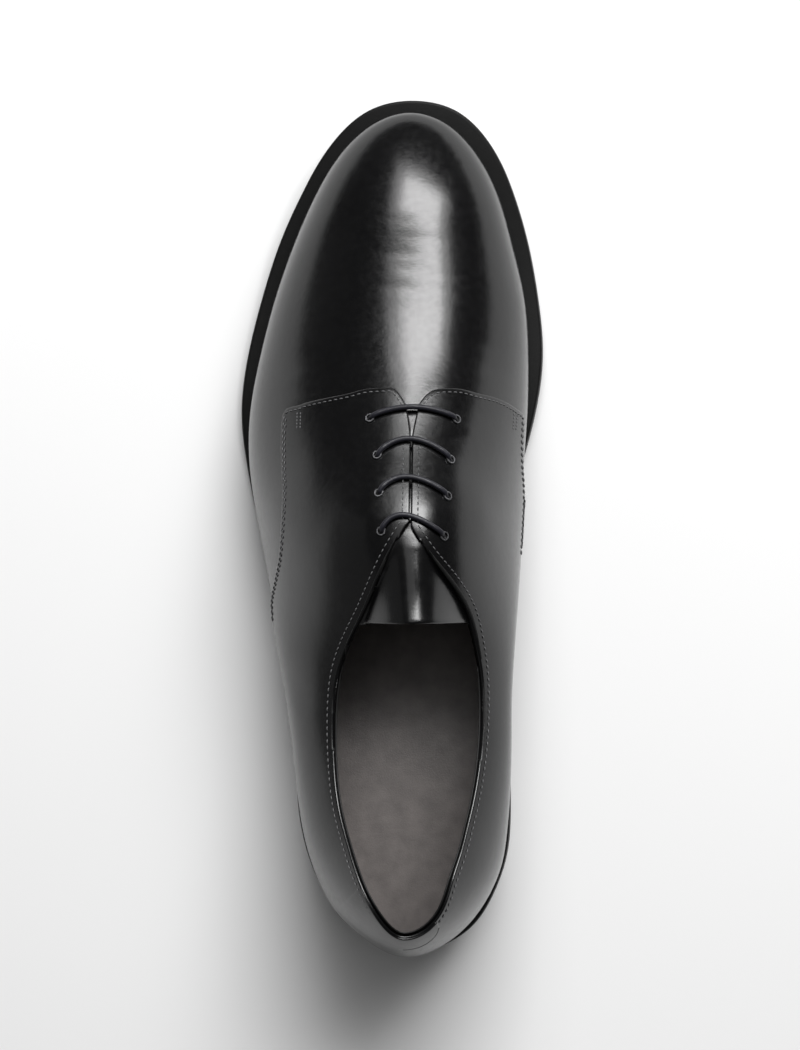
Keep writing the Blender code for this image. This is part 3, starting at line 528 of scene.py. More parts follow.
def outline_curve(rows):
    """Outline seen from above, by the place on the round trip."""
    stations = column(rows, "station")
    x = round_trip(stations, column(rows, "lateral_x"), column(rows, "medial_x"))
    y = round_trip(stations, column(rows, "lateral_y"), column(rows, "medial_y"))
    return lambda w: np.stack([x(w), y(w)], axis=-1)


def tuck_curve(name):
    lateral = column(TUCK, "lateral_" + name)
    return round_trip(column(TUCK, "station"), lateral, column(TUCK, "medial_" + name))


def lean_curve(name):
    return mirrored(column(TOPLINE, "station"), column(TOPLINE, name), both=False)


upper_outline = outline_curve(UPPER_OUTLINE)
sole_outline = outline_curve(SOLE_OUTLINE)
crest_x = mirrored(column(CREST, "station"), column(CREST, "x"))
crest_y = mirrored(column(CREST, "station"), column(CREST, "y"))
crest_z = mirrored(column(CREST, "station"), column(CREST, "z"))
crest_hollow = mirrored(column(CREST, "station"), column(CREST, "hollow"))
bulge_rise = tuck_curve("rise")
feather_tuck = tuck_curve("tuck")
topline_lean = {-1: lean_curve("lateral_lean"), 1: lean_curve("medial_lean")}

# The flat stretch under the ball is exactly flat, the rest is smooth
back_rows = [row for row in SOLE_BOTTOM if row.y <= BALL_FLAT_BACK]
front_rows = [row for row in SOLE_BOTTOM if row.y >= BALL_FLAT_FRONT]
sole_back = cubic(column(back_rows, "y"), column(back_rows, "z"))
sole_front = cubic(column(front_rows, "y"), column(front_rows, "z"))


def sole_bottom(y):
    y = np.asarray(y, dtype=float)
    z = np.where(y < BALL_FLAT_BACK, sole_back(y), 0.0)
    z = np.where(y > BALL_FLAT_FRONT, sole_front(y), z)
    return np.maximum(z, 0.0)


def sole_top(y):
    return sole_bottom(y) + OUTSOLE_THICK


def welt_bottom(y):
    return sole_top(y) + GAP


def welt_top(y):
    return welt_bottom(y) + WELT_THICK


def feather_height(y):
    return welt_top(y) + GAP


SAMPLES = 3000
side_samples = {
    side: upper_outline(place(np.linspace(HEEL_STATION, TOE_STATION, SAMPLES), side))
    for side in (-1, 1)
}


def bulge_x(y, side):
    points = side_samples[side]
    return np.interp(y, points[:, 1], points[:, 0])


def bulge_height(y, side):
    station = np.clip(y, HEEL_STATION, TOE_STATION)
    return feather_height(y) + bulge_rise(place(station, side))


def crest_height(y):
    """Height of the crest, which falls round the toe like a blunt ellipse."""
    tip = UPPER_OUTLINE[-1].lateral_y
    share = np.clip((y - TOE_FALL_START) / (tip - TOE_FALL_START), 0, 1)
    fall = (1 - share ** TOE_FALL_POWER) ** (1 / TOE_FALL_POWER)
    base = bulge_height(y, 1)
    return base + (crest_z(y) - base) * fall


def section(across, hollow):
    """Height share of a section at a share of the way from crest to widest line."""
    inside = np.clip(1 - across ** 2, 0, 1)
    return (1 - hollow) * np.sqrt(inside) + hollow * inside


def vamp_height(x, y):
    """Height of the last over a point seen from above, ahead of the heel."""
    x = np.asarray(x, dtype=float)
    y = np.asarray(y, dtype=float)
    ridge = crest_x(y)
    result = np.zeros(np.broadcast(x, y).shape)
    for side in (-1, 1):
        reach = np.maximum(np.abs(bulge_x(y, side) - ridge), 1e-6)
        across = np.clip(np.abs(x - ridge) / reach, 0, 1)
        base = bulge_height(y, side)
        z = base + (crest_height(y) - base) * section(across, crest_hollow(y))
        here = x < ridge if side < 0 else x >= ridge
        result = np.where(here, z, result)
    return result


def inward(curve, w):
    """Unit vectors that point into the shoe from an outline."""
    ahead = unit(curve(w + 0.5) - curve(w - 0.5))
    return np.stack([ahead[..., 1], -ahead[..., 0]], axis=-1)


def last_points(station, lift, side):
    """Points of the last from their stations and lifts on one side."""
    station, lift = np.broadcast_arrays(np.asarray(station, float), np.asarray(lift, float))
    w = place(station, side)
    edge = upper_outline(w)
    depth = np.clip(-lift, 0, 1)
    low_plan = edge + inward(upper_outline, w) * (feather_tuck(w) * depth ** 2)[..., None]
    low_z = feather_height(low_plan[..., 1]) + bulge_rise(w) * (1 - depth)
    middle = np.stack([crest_x(station), crest_y(station)], axis=-1)
    angle = np.radians(90 * np.clip(lift, 0, 1))
    high_plan = edge + (middle - edge) * (1 - np.cos(angle))[..., None]
    base = feather_height(edge[..., 1]) + bulge_rise(w)
    rise = (crest_z(station) - base) * section(np.cos(angle), crest_hollow(station))
    ahead = vamp_height(high_plan[..., 0], high_plan[..., 1])
    high_z = np.where(station > TOE_FAN_STATION, ahead, base + rise)
    low = np.concatenate([low_plan, low_z[..., None]], axis=-1)
    high = np.concatenate([high_plan, high_z[..., None]], axis=-1)
    return np.where((lift <= 0)[..., None], low, high)


def lift_of(x, y, side):
    """Lift of a point seen from above, along the middle of the shoe."""
    reach = abs(bulge_x(y, side) - crest_x(y))
    return math.degrees(math.acos(min(abs(x - crest_x(y)) / reach, 1))) / 90


def topline_lift(station, side):
    """Lift of the collar's edge, and of the facing's edge ahead of the throat."""
    edge = upper_outline(place(station, side))
    middle = np.stack([crest_x(station), crest_y(station)], axis=-1)
    reach = np.linalg.norm(middle - edge, axis=-1)
    lean = np.minimum(topline_lean[side](station), reach - SLIT_HALF_WIDTH)
    lean = np.where(station >= THROAT_STATION, reach - SLIT_HALF_WIDTH, lean)
    return np.degrees(np.arccos(np.clip(1 - lean / reach, -1, 1))) / 90


def seam_curves(side):
    """Station and lift of the quarter's edge by row of the grid."""
    name = "lateral" if side < 0 else "medial"
    stations = [getattr(row, name + "_station") for row in SEAM_FOOT]
    lifts = [row.lift for row in SEAM_FOOT]
    for row in QUARTER_EDGE:
        x = getattr(row, name + "_x")
        y = getattr(row, name + "_y")
        stations.append(y)
        lifts.append(lift_of(x, y, side))
    lifts[-1] = 1.0
    rows = np.arange(LAST_ROW + 1)
    return steady(rows, stations), steady(rows, lifts)


def resting_lifts(corner_lift):
    """Lifts of the grid's rows far from the seam."""
    foot = len(SEAM_FOOT)
    below = CORNER_ROW - foot + 1
    above = LAST_ROW - CORNER_ROW
    lifts = [row.lift for row in SEAM_FOOT]
    lifts += [corner_lift * (i + 1) / below for i in range(below)]
    lifts += [corner_lift + (1 - corner_lift) * (i + 1) / above for i in range(above)]
    return steady(np.arange(LAST_ROW + 1), lifts)


seam = {side: seam_curves(side) for side in (-1, 1)}
vamp_rest = resting_lifts(VAMP_CORNER_LIFT)
quarter_rest = resting_lifts(QUARTER_CORNER_LIFT)


def upper_points(top, row, side, ahead):
    """Points of the upper by top station and row; ahead picks vamp or quarter."""
    top, row = np.broadcast_arrays(np.asarray(top, float), np.asarray(row, float))
    seam_station = seam[side][0](row)
    seam_lift = seam[side][1](row)
    if ahead:
        pull = 1 - (top - QUARTER_STATION) / (TOE_STATION - QUARTER_STATION)
        limit = 1.0
        rest = vamp_rest(row)
    else:
        pull = 1 - (QUARTER_STATION - top) / (QUARTER_STATION - HEEL_STATION)
        rest = quarter_rest(row)
    station = top + pull * (seam_station - QUARTER_STATION)
    if not ahead:
        share = np.maximum((row / LAST_ROW) ** TOP_ROW_POWER, 1 - pull ** COLLAR_PULL_POWER)
        limit = 1 - (1 - topline_lift(station, side)) * share
    bent = limit * (rest + pull ** LIFT_PULL_POWER * (seam_lift - rest))
    return last_points(station, np.where(rest <= 0, rest, bent), side)


def inner_depth(top):
    """Depth of the inner face under the last's surface, thinner under the quarters."""
    behind = np.clip((QUARTER_STATION - np.asarray(top, float)) / WALL_BLEND, 0, 1)
    return WALL - (WALL + QUARTER_STEP - QUARTER_WALL) * behind


def slopes(height, x, y, step):
    """Slopes of a height along X and Y at points seen from above."""
    slope_x = (height(x + step, y) - height(x - step, y)) / (2 * step)
    slope_y = (height(x, y + step) - height(x, y - step)) / (2 * step)
    return slope_x, slope_y


def ways_up(height, x, y, step):
    """Unit vectors out of a height's surface at points seen from above."""
    slope_x, slope_y = slopes(height, x, y, step)
    return unit(np.stack([-slope_x, -slope_y, np.ones_like(slope_x)], axis=-1))


def above_quarter(x, y, distance):
    """A point a distance above the quarter's face, and the way up there."""
    up = ways_up(vamp_height, x, y, SLOPE_STEP)
    point = np.array([x, y, float(vamp_height(x, y))])
    return point + up * (QUARTER_STEP + distance), up


# Mesh tools

def grid_faces(rows, columns, start=0, flip=False):
    """Quads of a grid of points that is stored row by row."""
    i, j = np.meshgrid(np.arange(rows - 1), np.arange(columns - 1), indexing="ij")
    base = (start + i * columns + j).ravel()
    quads = np.stack([base, base + 1, base + columns + 1, base + columns], axis=1)
    return quads[:, ::-1] if flip else quads


def welded(points, faces):
    """Points and faces with points at one place joined."""
    points = np.asarray(points)
    keys = np.round(points / WELD_DISTANCE).astype(np.int64)
    _, first, back = np.unique(keys, axis=0, return_index=True, return_inverse=True)
    faces = [list(dict.fromkeys(back.ravel()[list(face)])) for face in faces]
    return points[first], [face for face in faces if len(face) > 2]


def face_edges(face):
    return zip(face, list(face[1:]) + [face[0]])


def face_array(faces):
    """Faces as rows of four, with a triangle's last corner given twice."""
    return np.array([list(face) + [face[-1]] * (4 - len(face)) for face in faces])


def vertex_normals(points, faces):
    quads = face_array(faces)
    across = points[quads[:, 2]] - points[quads[:, 0]]
    other = points[quads[:, 3]] - points[quads[:, 1]]
    facing = np.cross(across, other)
    normals = np.zeros_like(points)
    for k in range(4):
        np.add.at(normals, quads[:, k], facing)
    size = np.linalg.norm(normals, axis=1, keepdims=True)
    return normals / np.maximum(size, 1e-12)


def relaxed(points, faces, times):
    """Points evened out between their neighbours; the open edge stays put."""
    edges = {}
    for face in faces:
        for a, b in face_edges(face):
            key = (min(a, b), max(a, b))
            edges[key] = edges.get(key, 0) + 1
    pairs = np.array(list(edges))
    fixed = np.unique(pairs[np.array(list(edges.values())) == 1])
    points = points.copy()
    held = points[fixed].copy()
    count = np.zeros(len(points))
    np.add.at(count, pairs[:, 0], 1)
    np.add.at(count, pairs[:, 1], 1)
    for _ in range(times):
        total = np.zeros_like(points)
        np.add.at(total, pairs[:, 0], points[pairs[:, 1]])
        np.add.at(total, pairs[:, 1], points[pairs[:, 0]])
        points = points + 0.5 * (total / count[:, None] - points)
        points[fixed] = held
    return points


def make_mesh(name, points, faces, material, sharp=None):
    """Smooth object from points in millimetres, with creases over the sharp angle."""
    mesh = bpy.data.meshes.new(name)
    mesh.from_pydata((np.asarray(points) * MM).tolist(), [], [list(map(int, f)) for f in faces])
    mesh.validate()
    mesh.shade_smooth()
    if sharp:
        mesh.set_sharp_from_angle(angle=math.radians(sharp))
    mesh.materials.append(material)
    thing = bpy.data.objects.new(name, mesh)
    bpy.context.scene.collection.objects.link(thing)
    return thing


def outward_ways(points, faces, normals):
    """Edges on the rim of an open surface, and the way out of it at their ends."""
    seen = {}
    for face in faces:
        for pair in face_edges(face):
            seen[pair] = True
    rim = [(a, b) for a, b in seen if (b, a) not in seen]
    ways = {}
    for a, b in rim:
        ahead = points[b] - points[a]
        for end in (a, b):
            way = np.cross(ahead, normals[end])
            ways[end] = ways.get(end, 0) + way / max(np.linalg.norm(way), 1e-12)
    for end, way in ways.items():
        ways[end] = way / max(np.linalg.norm(way), 1e-12)
    return rim, ways


def leather_sheet(name, points, faces, outer, inner, material, folds=0.0):
    """Closed sheet between two offsets from a surface, with rounded edges.

    Outer and inner are offsets along the surface's way out, one value or one for
    each point. Folds are added to the outer face alone.
    """
    normals = vertex_normals(points, faces)
    count = len(points)
    outer = np.broadcast_to(np.asarray(outer, float) + folds, count)
    inner = np.broadcast_to(np.asarray(inner, float), count)
    body = [points + normals * outer[:, None], points + normals * inner[:, None]]
    all_points = list(np.concatenate(body))
    all_faces = [list(face) for face in faces]
    all_faces += [[i + count for i in reversed(face)] for face in faces]
    rim, ways = outward_ways(points, faces, normals)
    index = {}
    for end, way in ways.items():
        radius = (outer[end] - inner[end]) / 2
        middle = points[end] + normals[end] * (outer[end] + inner[end]) / 2
        chain = [end]
        for k in range(1, EDGE_STEPS + 1):
            angle = math.pi * k / (EDGE_STEPS + 1)
            offset = normals[end] * radius * math.cos(angle) + way * radius * math.sin(angle)
            chain.append(len(all_points))
            all_points.append(middle + offset)
        index[end] = chain + [end + count]
    for a, b in rim:
        for k in range(EDGE_STEPS + 1):
            all_faces.append([index[b][k], index[a][k], index[a][k + 1], index[b][k + 1]])
    return make_mesh(name, np.array(all_points), all_faces, material)


# Materials

def new_material(name, color, roughness):
    material = bpy.data.materials.new(name)
    material.use_nodes = True
    shader = material.node_tree.nodes["Principled BSDF"]
    shader.inputs["Base Color"].default_value = (*color, 1.0)
    shader.inputs["Roughness"].default_value = roughness
    return material, material.node_tree, shader


def add_node(tree, kind, inputs):
    node = tree.nodes.new(kind)
    for name, value in inputs.items():
        node.inputs[name].default_value = value
    return node


def scaled_place(tree, scale=(1.0, 1.0, 1.0)):
    """Object coordinates stretched by a scale along each axis."""
    coordinates = tree.nodes.new("ShaderNodeTexCoord")
    mapping = add_node(tree, "ShaderNodeMapping", {"Scale": scale})
    tree.links.new(coordinates.outputs["Object"], mapping.inputs["Vector"])
    return mapping.outputs["Vector"]


def noise(tree, place_out, scale, detail=4.0, roughness=0.55):
    node = add_node(tree, "ShaderNodeTexNoise", {"Scale": scale, "Detail": detail, "Roughness": roughness})
    tree.links.new(place_out, node.inputs["Vector"])
    return node.outputs["Fac"]


def cells(tree, place_out, scale):
    node = add_node(tree, "ShaderNodeTexVoronoi", {"Scale": scale})
    tree.links.new(place_out, node.inputs["Vector"])
    return node.outputs["Distance"]


def ramp(tree, value, stops):
    """Colour ramp from (position, colour) stops."""
    node = tree.nodes.new("ShaderNodeValToRGB")
    elements = node.color_ramp.elements
    while len(elements) < len(stops):
        elements.new(0.5)
    for element, (position, color) in zip(elements, stops):
        element.position = position
        element.color = (*color, 1.0)
    tree.links.new(value, node.inputs["Fac"])
    return node.outputs["Color"]


def ranged(tree, value, low, high, out_low, out_high):
    node = add_node(tree, "ShaderNodeMapRange", {
        "From Min": low, "From Max": high, "To Min": out_low, "To Max": out_high,
    })
    tree.links.new(value, node.inputs["Value"])
    return node.outputs["Result"]


def bump(tree, height, strength, distance, below=None):
    node = add_node(tree, "ShaderNodeBump", {"Strength": strength, "Distance": distance})
    tree.links.new(height, node.inputs["Height"])
    if below is not None:
        tree.links.new(below, node.inputs["Normal"])
    return node.outputs["Normal"]


def polished_leather(name, color=(0.0018, 0.0018, 0.0020), coat=0.2, roughness=0.21):
    """Black box calf: fine broken grain under a clear polish."""
    material, tree, shader = new_material(name, color, roughness)
    place_out = scaled_place(tree)
    stretched = scaled_place(tree, (0.7, 1.25, 1.0))
    pores = cells(tree, stretched, 1300.0)
    folds = noise(tree, place_out, 420.0, 5.0, 0.6)
    swell = noise(tree, place_out, 38.0, 2.0, 0.4)
    soft = bump(tree, swell, 0.06, 0.004)
    middle = bump(tree, folds, 0.07, 0.0005, soft)
    fine = bump(tree, pores, 0.05, 0.0002, middle)
    shader.inputs["Specular IOR Level"].default_value = 0.42
    shader.inputs["Coat Weight"].default_value = coat
    shader.inputs["Coat Roughness"].default_value = 0.14
    shader.inputs["Coat IOR"].default_value = 1.5
    tree.links.new(fine, shader.inputs["Normal"])
    tree.links.new(middle, shader.inputs["Coat Normal"])
    gloss = ranged(tree, folds, 0.3, 0.7, roughness - 0.03, roughness + 0.06)
    tree.links.new(gloss, shader.inputs["Roughness"])
    return material


def edge_leather(name, color=(0.012, 0.012, 0.013), roughness=0.5, specular=0.5, metallic=0.0):
    """Close matt fibre in one colour, also for cord, rubber and dull metal."""
    material, tree, shader = new_material(name, color, roughness)
    shader.inputs["Specular IOR Level"].default_value = specular
    shader.inputs["Metallic"].default_value = metallic
    place_out = scaled_place(tree)
    fibre = noise(tree, place_out, 1500.0, 5.0, 0.7)
    patch = noise(tree, place_out, 160.0, 3.0, 0.5)
    tree.links.new(bump(tree, fibre, 0.30, 0.0003), shader.inputs["Normal"])
    shade = ramp(tree, patch, [(0.3, [c * 0.85 for c in color]), (0.7, [c * 1.2 for c in color])])
    tree.links.new(shade, shader.inputs["Base Color"])
    gloss = ranged(tree, fibre, 0.3, 0.7, roughness - 0.08, roughness + 0.1)
    tree.links.new(gloss, shader.inputs["Roughness"])
    return material


black_leather = polished_leather("polished_black_leather")
# The black lining leather also colours the dark tube along the dog-tail's edge, which is painted shade
lining_and_shade_black = edge_leather("black_lining_and_painted_shade", (0.006, 0.006, 0.006), 0.5, 0.3)
welt_leather = edge_leather("blackened_welt_leather", (0.003, 0.003, 0.003), 0.5, 0.15)
sole_leather = edge_leather("blackened_sole_leather", (0.004, 0.004, 0.004), 0.3, 0.4)
rubber = edge_leather("black_rubber", (0.010, 0.010, 0.010), 0.6)
board = edge_leather("insole_board", (0.30, 0.21, 0.13), 0.8)
sock_leather = edge_leather("grey_brown_sock_leather", (0.100, 0.089, 0.085), 0.42, 0.4)
thread = edge_leather("dark_thread", (0.07, 0.07, 0.072), 0.45)
lace_cord = edge_leather("waxed_black_cord", (0.010, 0.010, 0.014), 0.40, 0.35)
eyelet_metal = edge_leather("dull_eyelet_metal", (0.22, 0.22, 0.23), 0.35, 0.5, 1.0)



def both_sides(tops_behind, tops_ahead, rows):
    """Welded surface of both sides from tops behind the seam and tops ahead of it."""
    points = []
    faces = []
    for side in (-1, 1):
        behind = upper_points(tops_behind[:, None], rows[None, :], side, False)
        ahead = upper_points(tops_ahead[:, None], rows[None, :], side, True)
        grid = np.concatenate([behind, ahead])
        faces += grid_faces(len(grid), len(rows), len(points), flip=side >= 0).tolist()
        points += grid.reshape(-1, 3).tolist()
    return welded(points, faces)


def relief(points, folds):
    """Height that soft folds add at points seen from above."""
    total = np.zeros(len(points))
    for fold in folds:
        start = np.array([fold.x0, fold.y0])
        way = np.array([fold.x1, fold.y1]) - start
        share = np.clip((points[:, :2] - start) @ way / (way @ way), 0, 1)
        gap = np.linalg.norm(points[:, :2] - start - share[:, None] * way, axis=1)
        total += fold.rise * np.sin(math.pi * share) * np.exp(-(gap / fold.width) ** 2)
    return total


def make_quarters():
    """Both quarters, joined round the heel."""
    points, faces = both_sides(TOPS_BEHIND, TOPS_AHEAD[:0], ROWS)
    folds = relief(points, QUARTER_FOLDS)
    quarters = leather_sheet("quarters", points, faces, QUARTER_STEP, 0.0, black_leather, folds)
    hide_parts("upper")
    return quarters


def make_lining():
    """Inner face of the upper, from heel to toe."""
    ahead = np.append(TOPS_AHEAD[1::COARSE], TOE_STATION)
    points, faces = both_sides(TOPS_BEHIND[::COARSE], ahead, ROWS[::COARSE] * LINING_SHARE)
    depth = inner_depth(np.clip(points[:, 1], HEEL_STATION, TOE_STATION))
    outer = LINING_RISE - LINING_OUTER_SHARE * depth
    lining = leather_sheet("lining", points, faces, outer, -depth, lining_and_shade_black)
    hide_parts("upper")
    return lining


def ways_out(station, lift, side):
    """Unit vectors out of the last at points of it."""
    step = 0.05
    lift_step = 0.002
    along = last_points(station + step, lift, side) - last_points(station - step, lift, side)
    up = last_points(station, lift + lift_step, side) - last_points(station, lift - lift_step, side)
    out = unit(np.cross(along, up))
    here = last_points(station, lift, side)
    middle = np.stack([
        np.full(len(here), LAST_MIDDLE.x), np.clip(here[:, 1], -LAST_MIDDLE.y, LAST_MIDDLE.y),
        np.full(len(here), LAST_MIDDLE.z),
    ], axis=1)
    turned = np.sign(np.sum(out * (here - middle), axis=1))
    return out * turned[:, None]


def edge_places(edge, places, side):
    """Stations and lifts along the collar and facing, or along the front edge."""
    if edge == "collar":
        return places, np.minimum(topline_lift(places, side), TOP_LIFT)
    stations = seam[side][0](places)
    return stations, np.minimum(seam[side][1](places), TOP_LIFT)


def edge_ways(edge, places, side, here):
    """Ways into the quarter from points of its edge, and ways out of the last."""
    out = ways_out(*edge_places(edge, places, side), side)
    ahead = unit(np.gradient(here, axis=0))
    return np.cross(out, ahead) * (-side if edge == "collar" else side), out


def make_vamp():
    """Plain vamp from the toe to a lap under the quarters."""
    points = []
    faces = []
    for side in (-1, 1):
        grid = upper_points(TOPS_AHEAD[:, None], ROWS[None, :], side, True)
        inside, out = edge_ways("front", ROWS, side, grid[0])
        laps = [grid[0] + inside * lap.reach - out * lap.drop for lap in LAPS]
        grid = np.concatenate([laps, grid])
        faces += grid_faces(len(grid), len(ROWS), len(points), flip=side >= 0).tolist()
        points += grid.reshape(-1, 3).tolist()
    points, faces = welded(points, faces)
    points = relaxed(points, faces, VAMP_RELAX_TIMES)
    folds = relief(points, VAMP_FOLDS)
    vamp = leather_sheet("vamp", points, faces, 0.0, -VAMP_SHEET, black_leather, folds)
    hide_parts("upper")
    return vamp


def stitch_path(stitch, side):
    """Points on the quarter's face a fixed distance in from one of its edges."""
    places = np.linspace(stitch.first, stitch.last, STITCH_PATH_POINTS)
    station, lift = edge_places(stitch.edge, places, side)
    here = last_points(station, lift, side)
    inside, out = edge_ways(stitch.edge, places, side, here)
    inner = here + inside * stitch.inset
    rise = QUARTER_STEP + STITCH_RISE + relief(inner, QUARTER_FOLDS)
    return inner + out * rise[:, None], out


def make_dog_tail():
    """Overlay of the lateral quarter that wraps the back to a rounded edge, and a dark tube of painted
    shade along its lower edge.
    """
    share = np.linspace(0, 1, DOG_TAIL_COLUMNS)
    turns = [0, DOG_TAIL_BACK, 1]
    stops = [DOG_TAIL_MEDIAL_STATION, HEEL_STATION, DOG_TAIL_LATERAL_STATION]
    station = np.interp(share, turns, stops)
    side_of = np.where(share <= DOG_TAIL_BACK, 1, -1)
    edge = steady(column(DOG_TAIL, "share"), column(DOG_TAIL, "lift"))(share)
    rows = np.linspace(0, 1, DOG_TAIL_ROWS)
    points = np.zeros((len(share), len(rows), 3))
    for side in (1, -1):
        mine = side_of == side
        low = edge[mine][:, None]
        high = topline_lift(station[mine], side)[:, None]
        lifts = low + (high - low) * rows[None, :]
        points[mine] = last_points(station[mine][:, None], lifts, side)
    faces = grid_faces(len(share), len(rows)).tolist()
    points = points.reshape(-1, 3)
    if np.mean(vertex_normals(points, faces)[:, 1]) > 0:
        faces = [face[::-1] for face in faces]
    thick = np.interp(share, turns, [DOG_TAIL_STEP, DOG_TAIL_STEP, DOG_TAIL_FADED_STEP])
    outer = QUARTER_STEP + np.repeat(thick, len(rows))
    inner = QUARTER_STEP - DOG_TAIL_SUNK
    tail = leather_sheet("dog_tail", points, faces, outer, inner, black_leather)
    grid = points.reshape(len(share), len(rows), 3)
    # A dark matt tube along the lower edge, up to a share of the tail: painted shade for the shadow in the
    # gap under the edge
    dark = share <= DOG_TAIL_SHADE_END
    outward = vertex_normals(points, faces).reshape(grid.shape)[dark, 0]
    rim = grid[dark, 0] + outward * (QUARTER_STEP + DOG_TAIL_SHADE_RISE)
    shade_tube_points, shade_tube_faces = swept(rim, DOG_TAIL_SHADE_RADIUS, DOG_TAIL_SHADE_SIDES)
    return tail, make_mesh("dog_tail_painted_shade", shade_tube_points, shade_tube_faces, lining_and_shade_black)


def distances(path):
    """Distance along a path to each of its points."""
    gaps = np.linalg.norm(np.diff(path, axis=0), axis=1)
    return np.concatenate([[0.0], np.cumsum(gaps)])


def between(spots, along, values):
    """Rows of values at distances along a path, from those at its points."""
    columns = np.asarray(values).T
    return np.stack([np.interp(spots, along, values_of) for values_of in columns], axis=1)


def append_mesh(points, faces, more_points, more_faces):
    """Adds a mesh to lists of points and faces."""
    faces += [[i + len(points) for i in face] for face in more_faces]
    points += list(more_points)


def swept(path, radii, sides, ways=None, press=None):
    """Points and faces of a closed tube, pressed flat along ways where asked."""
    path = np.asarray(path, dtype=float)
    radii = np.broadcast_to(np.asarray(radii, float).T, (sides, len(path))).T
    ahead = unit(np.gradient(path, axis=0))
    side = np.cross(ahead[0], (0.0, 0.0, 1.0))
    if np.linalg.norm(side) < 0.1:
        side = np.cross(ahead[0], (1.0, 0.0, 0.0))
    angles = 2 * math.pi * np.arange(sides) / sides
    rings = []
    for i, way in enumerate(ahead):
        side = unit(side - way * np.dot(side, way))
        up = np.cross(side, way)
        ring = radii[i][:, None] * (np.cos(angles)[:, None] * side + np.sin(angles)[:, None] * up)
        if press is not None:
            ring -= (ring @ ways[i])[:, None] * ways[i] * press[i]
        rings.append(path[i] + ring)
    faces = []
    for i in range(len(path) - 1):
        for k in range(sides):
            n = (k + 1) % sides
            faces.append([i * sides + k, i * sides + n, (i + 1) * sides + n, (i + 1) * sides + k])
    last = (len(path) - 1) * sides
    faces.append(list(range(sides))[::-1])
    faces.append([last + k for k in range(sides)])
    return np.concatenate(rings), faces


def stitches(path, ways, pitch, length):
    """Points and faces of thread stitches that follow a path on leather."""
    along = distances(path)
    rises = column(STITCH_POINTS, "rise")[:, None]
    radii = STITCH_RADIUS * column(STITCH_POINTS, "share")[:, None]
    shares = np.linspace(-0.5, 0.5, len(STITCH_POINTS))
    points = []
    faces = []
    for n in range(max(int(round(along[-1] / pitch)), 1)):
        spots = (n + 0.5) * pitch + length * shares
        centre = between(spots, along, path)
        centre = centre[len(shares) // 2] + (centre[-1] - centre[0]) * shares[:, None]
        stitch = swept(centre + between(spots, along, ways) * rises, radii, STITCH_SIDES)
        append_mesh(points, faces, *stitch)
    return points, faces


def make_stitches():
    """Every stitch of the quarters as one piece."""
    points = []
    faces = []
    runs = []
    for side in (-1, 1):
        for stitch in EDGE_STITCHES:
            path, ways = stitch_path(stitch, side)
            runs.append((path, ways, STITCH_PITCH, STITCH_LENGTH))
    for tack in BAR_TACKS:
        spots = []
        for share in np.linspace(0, 1, TACK_PATH_POINTS):
            x = tack.x0 + (tack.x1 - tack.x0) * share
            y = tack.y0 + (tack.y1 - tack.y0) * share
            spots.append(above_quarter(x, y, 0.0))
        path = np.array([spot[0] for spot in spots])
        ways = np.array([spot[1] for spot in spots])
        runs.append((path, ways, TACK_PITCH, TACK_LENGTH))
    for run in runs:
        append_mesh(points, faces, *stitches(*run))
    return make_mesh("quarter_stitches", points, faces, thread)


def ladder(left, right, columns, height):
    """Grid of points between two matching rows of plan points."""
    share = np.linspace(0, 1, columns + 1)[None, :, None]
    plan = left[:, None, :] * (1 - share) + right[:, None, :] * share
    z = height(plan[..., 1])
    return np.concatenate([plan, z[..., None]], axis=-1)


def rim_of(rows, columns):
    """Grid places round a ladder: up the left side and back down the right."""
    rim = [(i, 0) for i in range(rows)]
    rim += [(rows - 1, j) for j in range(1, columns + 1)]
    rim += [(i, columns) for i in range(rows - 2, -1, -1)]
    rim += [(0, j) for j in range(columns - 1, 0, -1)]
    return rim


def make_slab(name, outline, stations, edge, bottom, top, material, breast=0.0):
    """Slab between two heights, whose sides follow the rows of an edge.

    Breast is how far the slab's front end is hollowed, or 0 for a whole sole.
    """
    columns = SLAB_COLUMNS
    across = np.linspace(-1, 1, columns + 1)

    def layer(inset, share):
        def height(y):
            return bottom(y) * (1 - share) + top(y) * share

        sides = []
        for side in (-1, 1):
            w = place(stations, side)
            sides.append(outline(w) + inward(outline, w) * inset)
        if breast:
            sides[0][-1, 1] -= inset
            sides[1][-1, 1] -= inset
        grid = ladder(sides[0], sides[1], columns, height)
        grid[-1, :, 1] -= breast * (1 - across ** 2)
        grid[-1, :, 2] = height(grid[-1, :, 1])
        return grid

    layers = [layer(row.inset, row.share) for row in edge]
    rows = len(stations)
    points = np.concatenate([grid.reshape(-1, 3) for grid in layers])
    size = rows * (columns + 1)
    faces = grid_faces(rows, columns + 1).tolist()
    faces += grid_faces(rows, columns + 1, (len(layers) - 1) * size, flip=True).tolist()
    rim = [i * (columns + 1) + j for i, j in rim_of(rows, columns)]
    for level in range(len(layers) - 1):
        for here, there in zip(rim, rim[1:] + rim[:1]):
            a = level * size + here
            b = level * size + there
            faces.append([b, a, a + size, b + size])
    points, faces = welded(points, faces)
    return make_mesh(name, points, faces, material, SLAB_SHARP_ANGLE)


def welt_inner_plan(w):
    """Inner edge of the welt, a fixed width inside the feather edge."""
    feather = upper_outline(w) + inward(upper_outline, w) * feather_tuck(w)[:, None]
    return feather + inward(upper_outline, w) * WELT_WIDTH_INSIDE_FEATHER


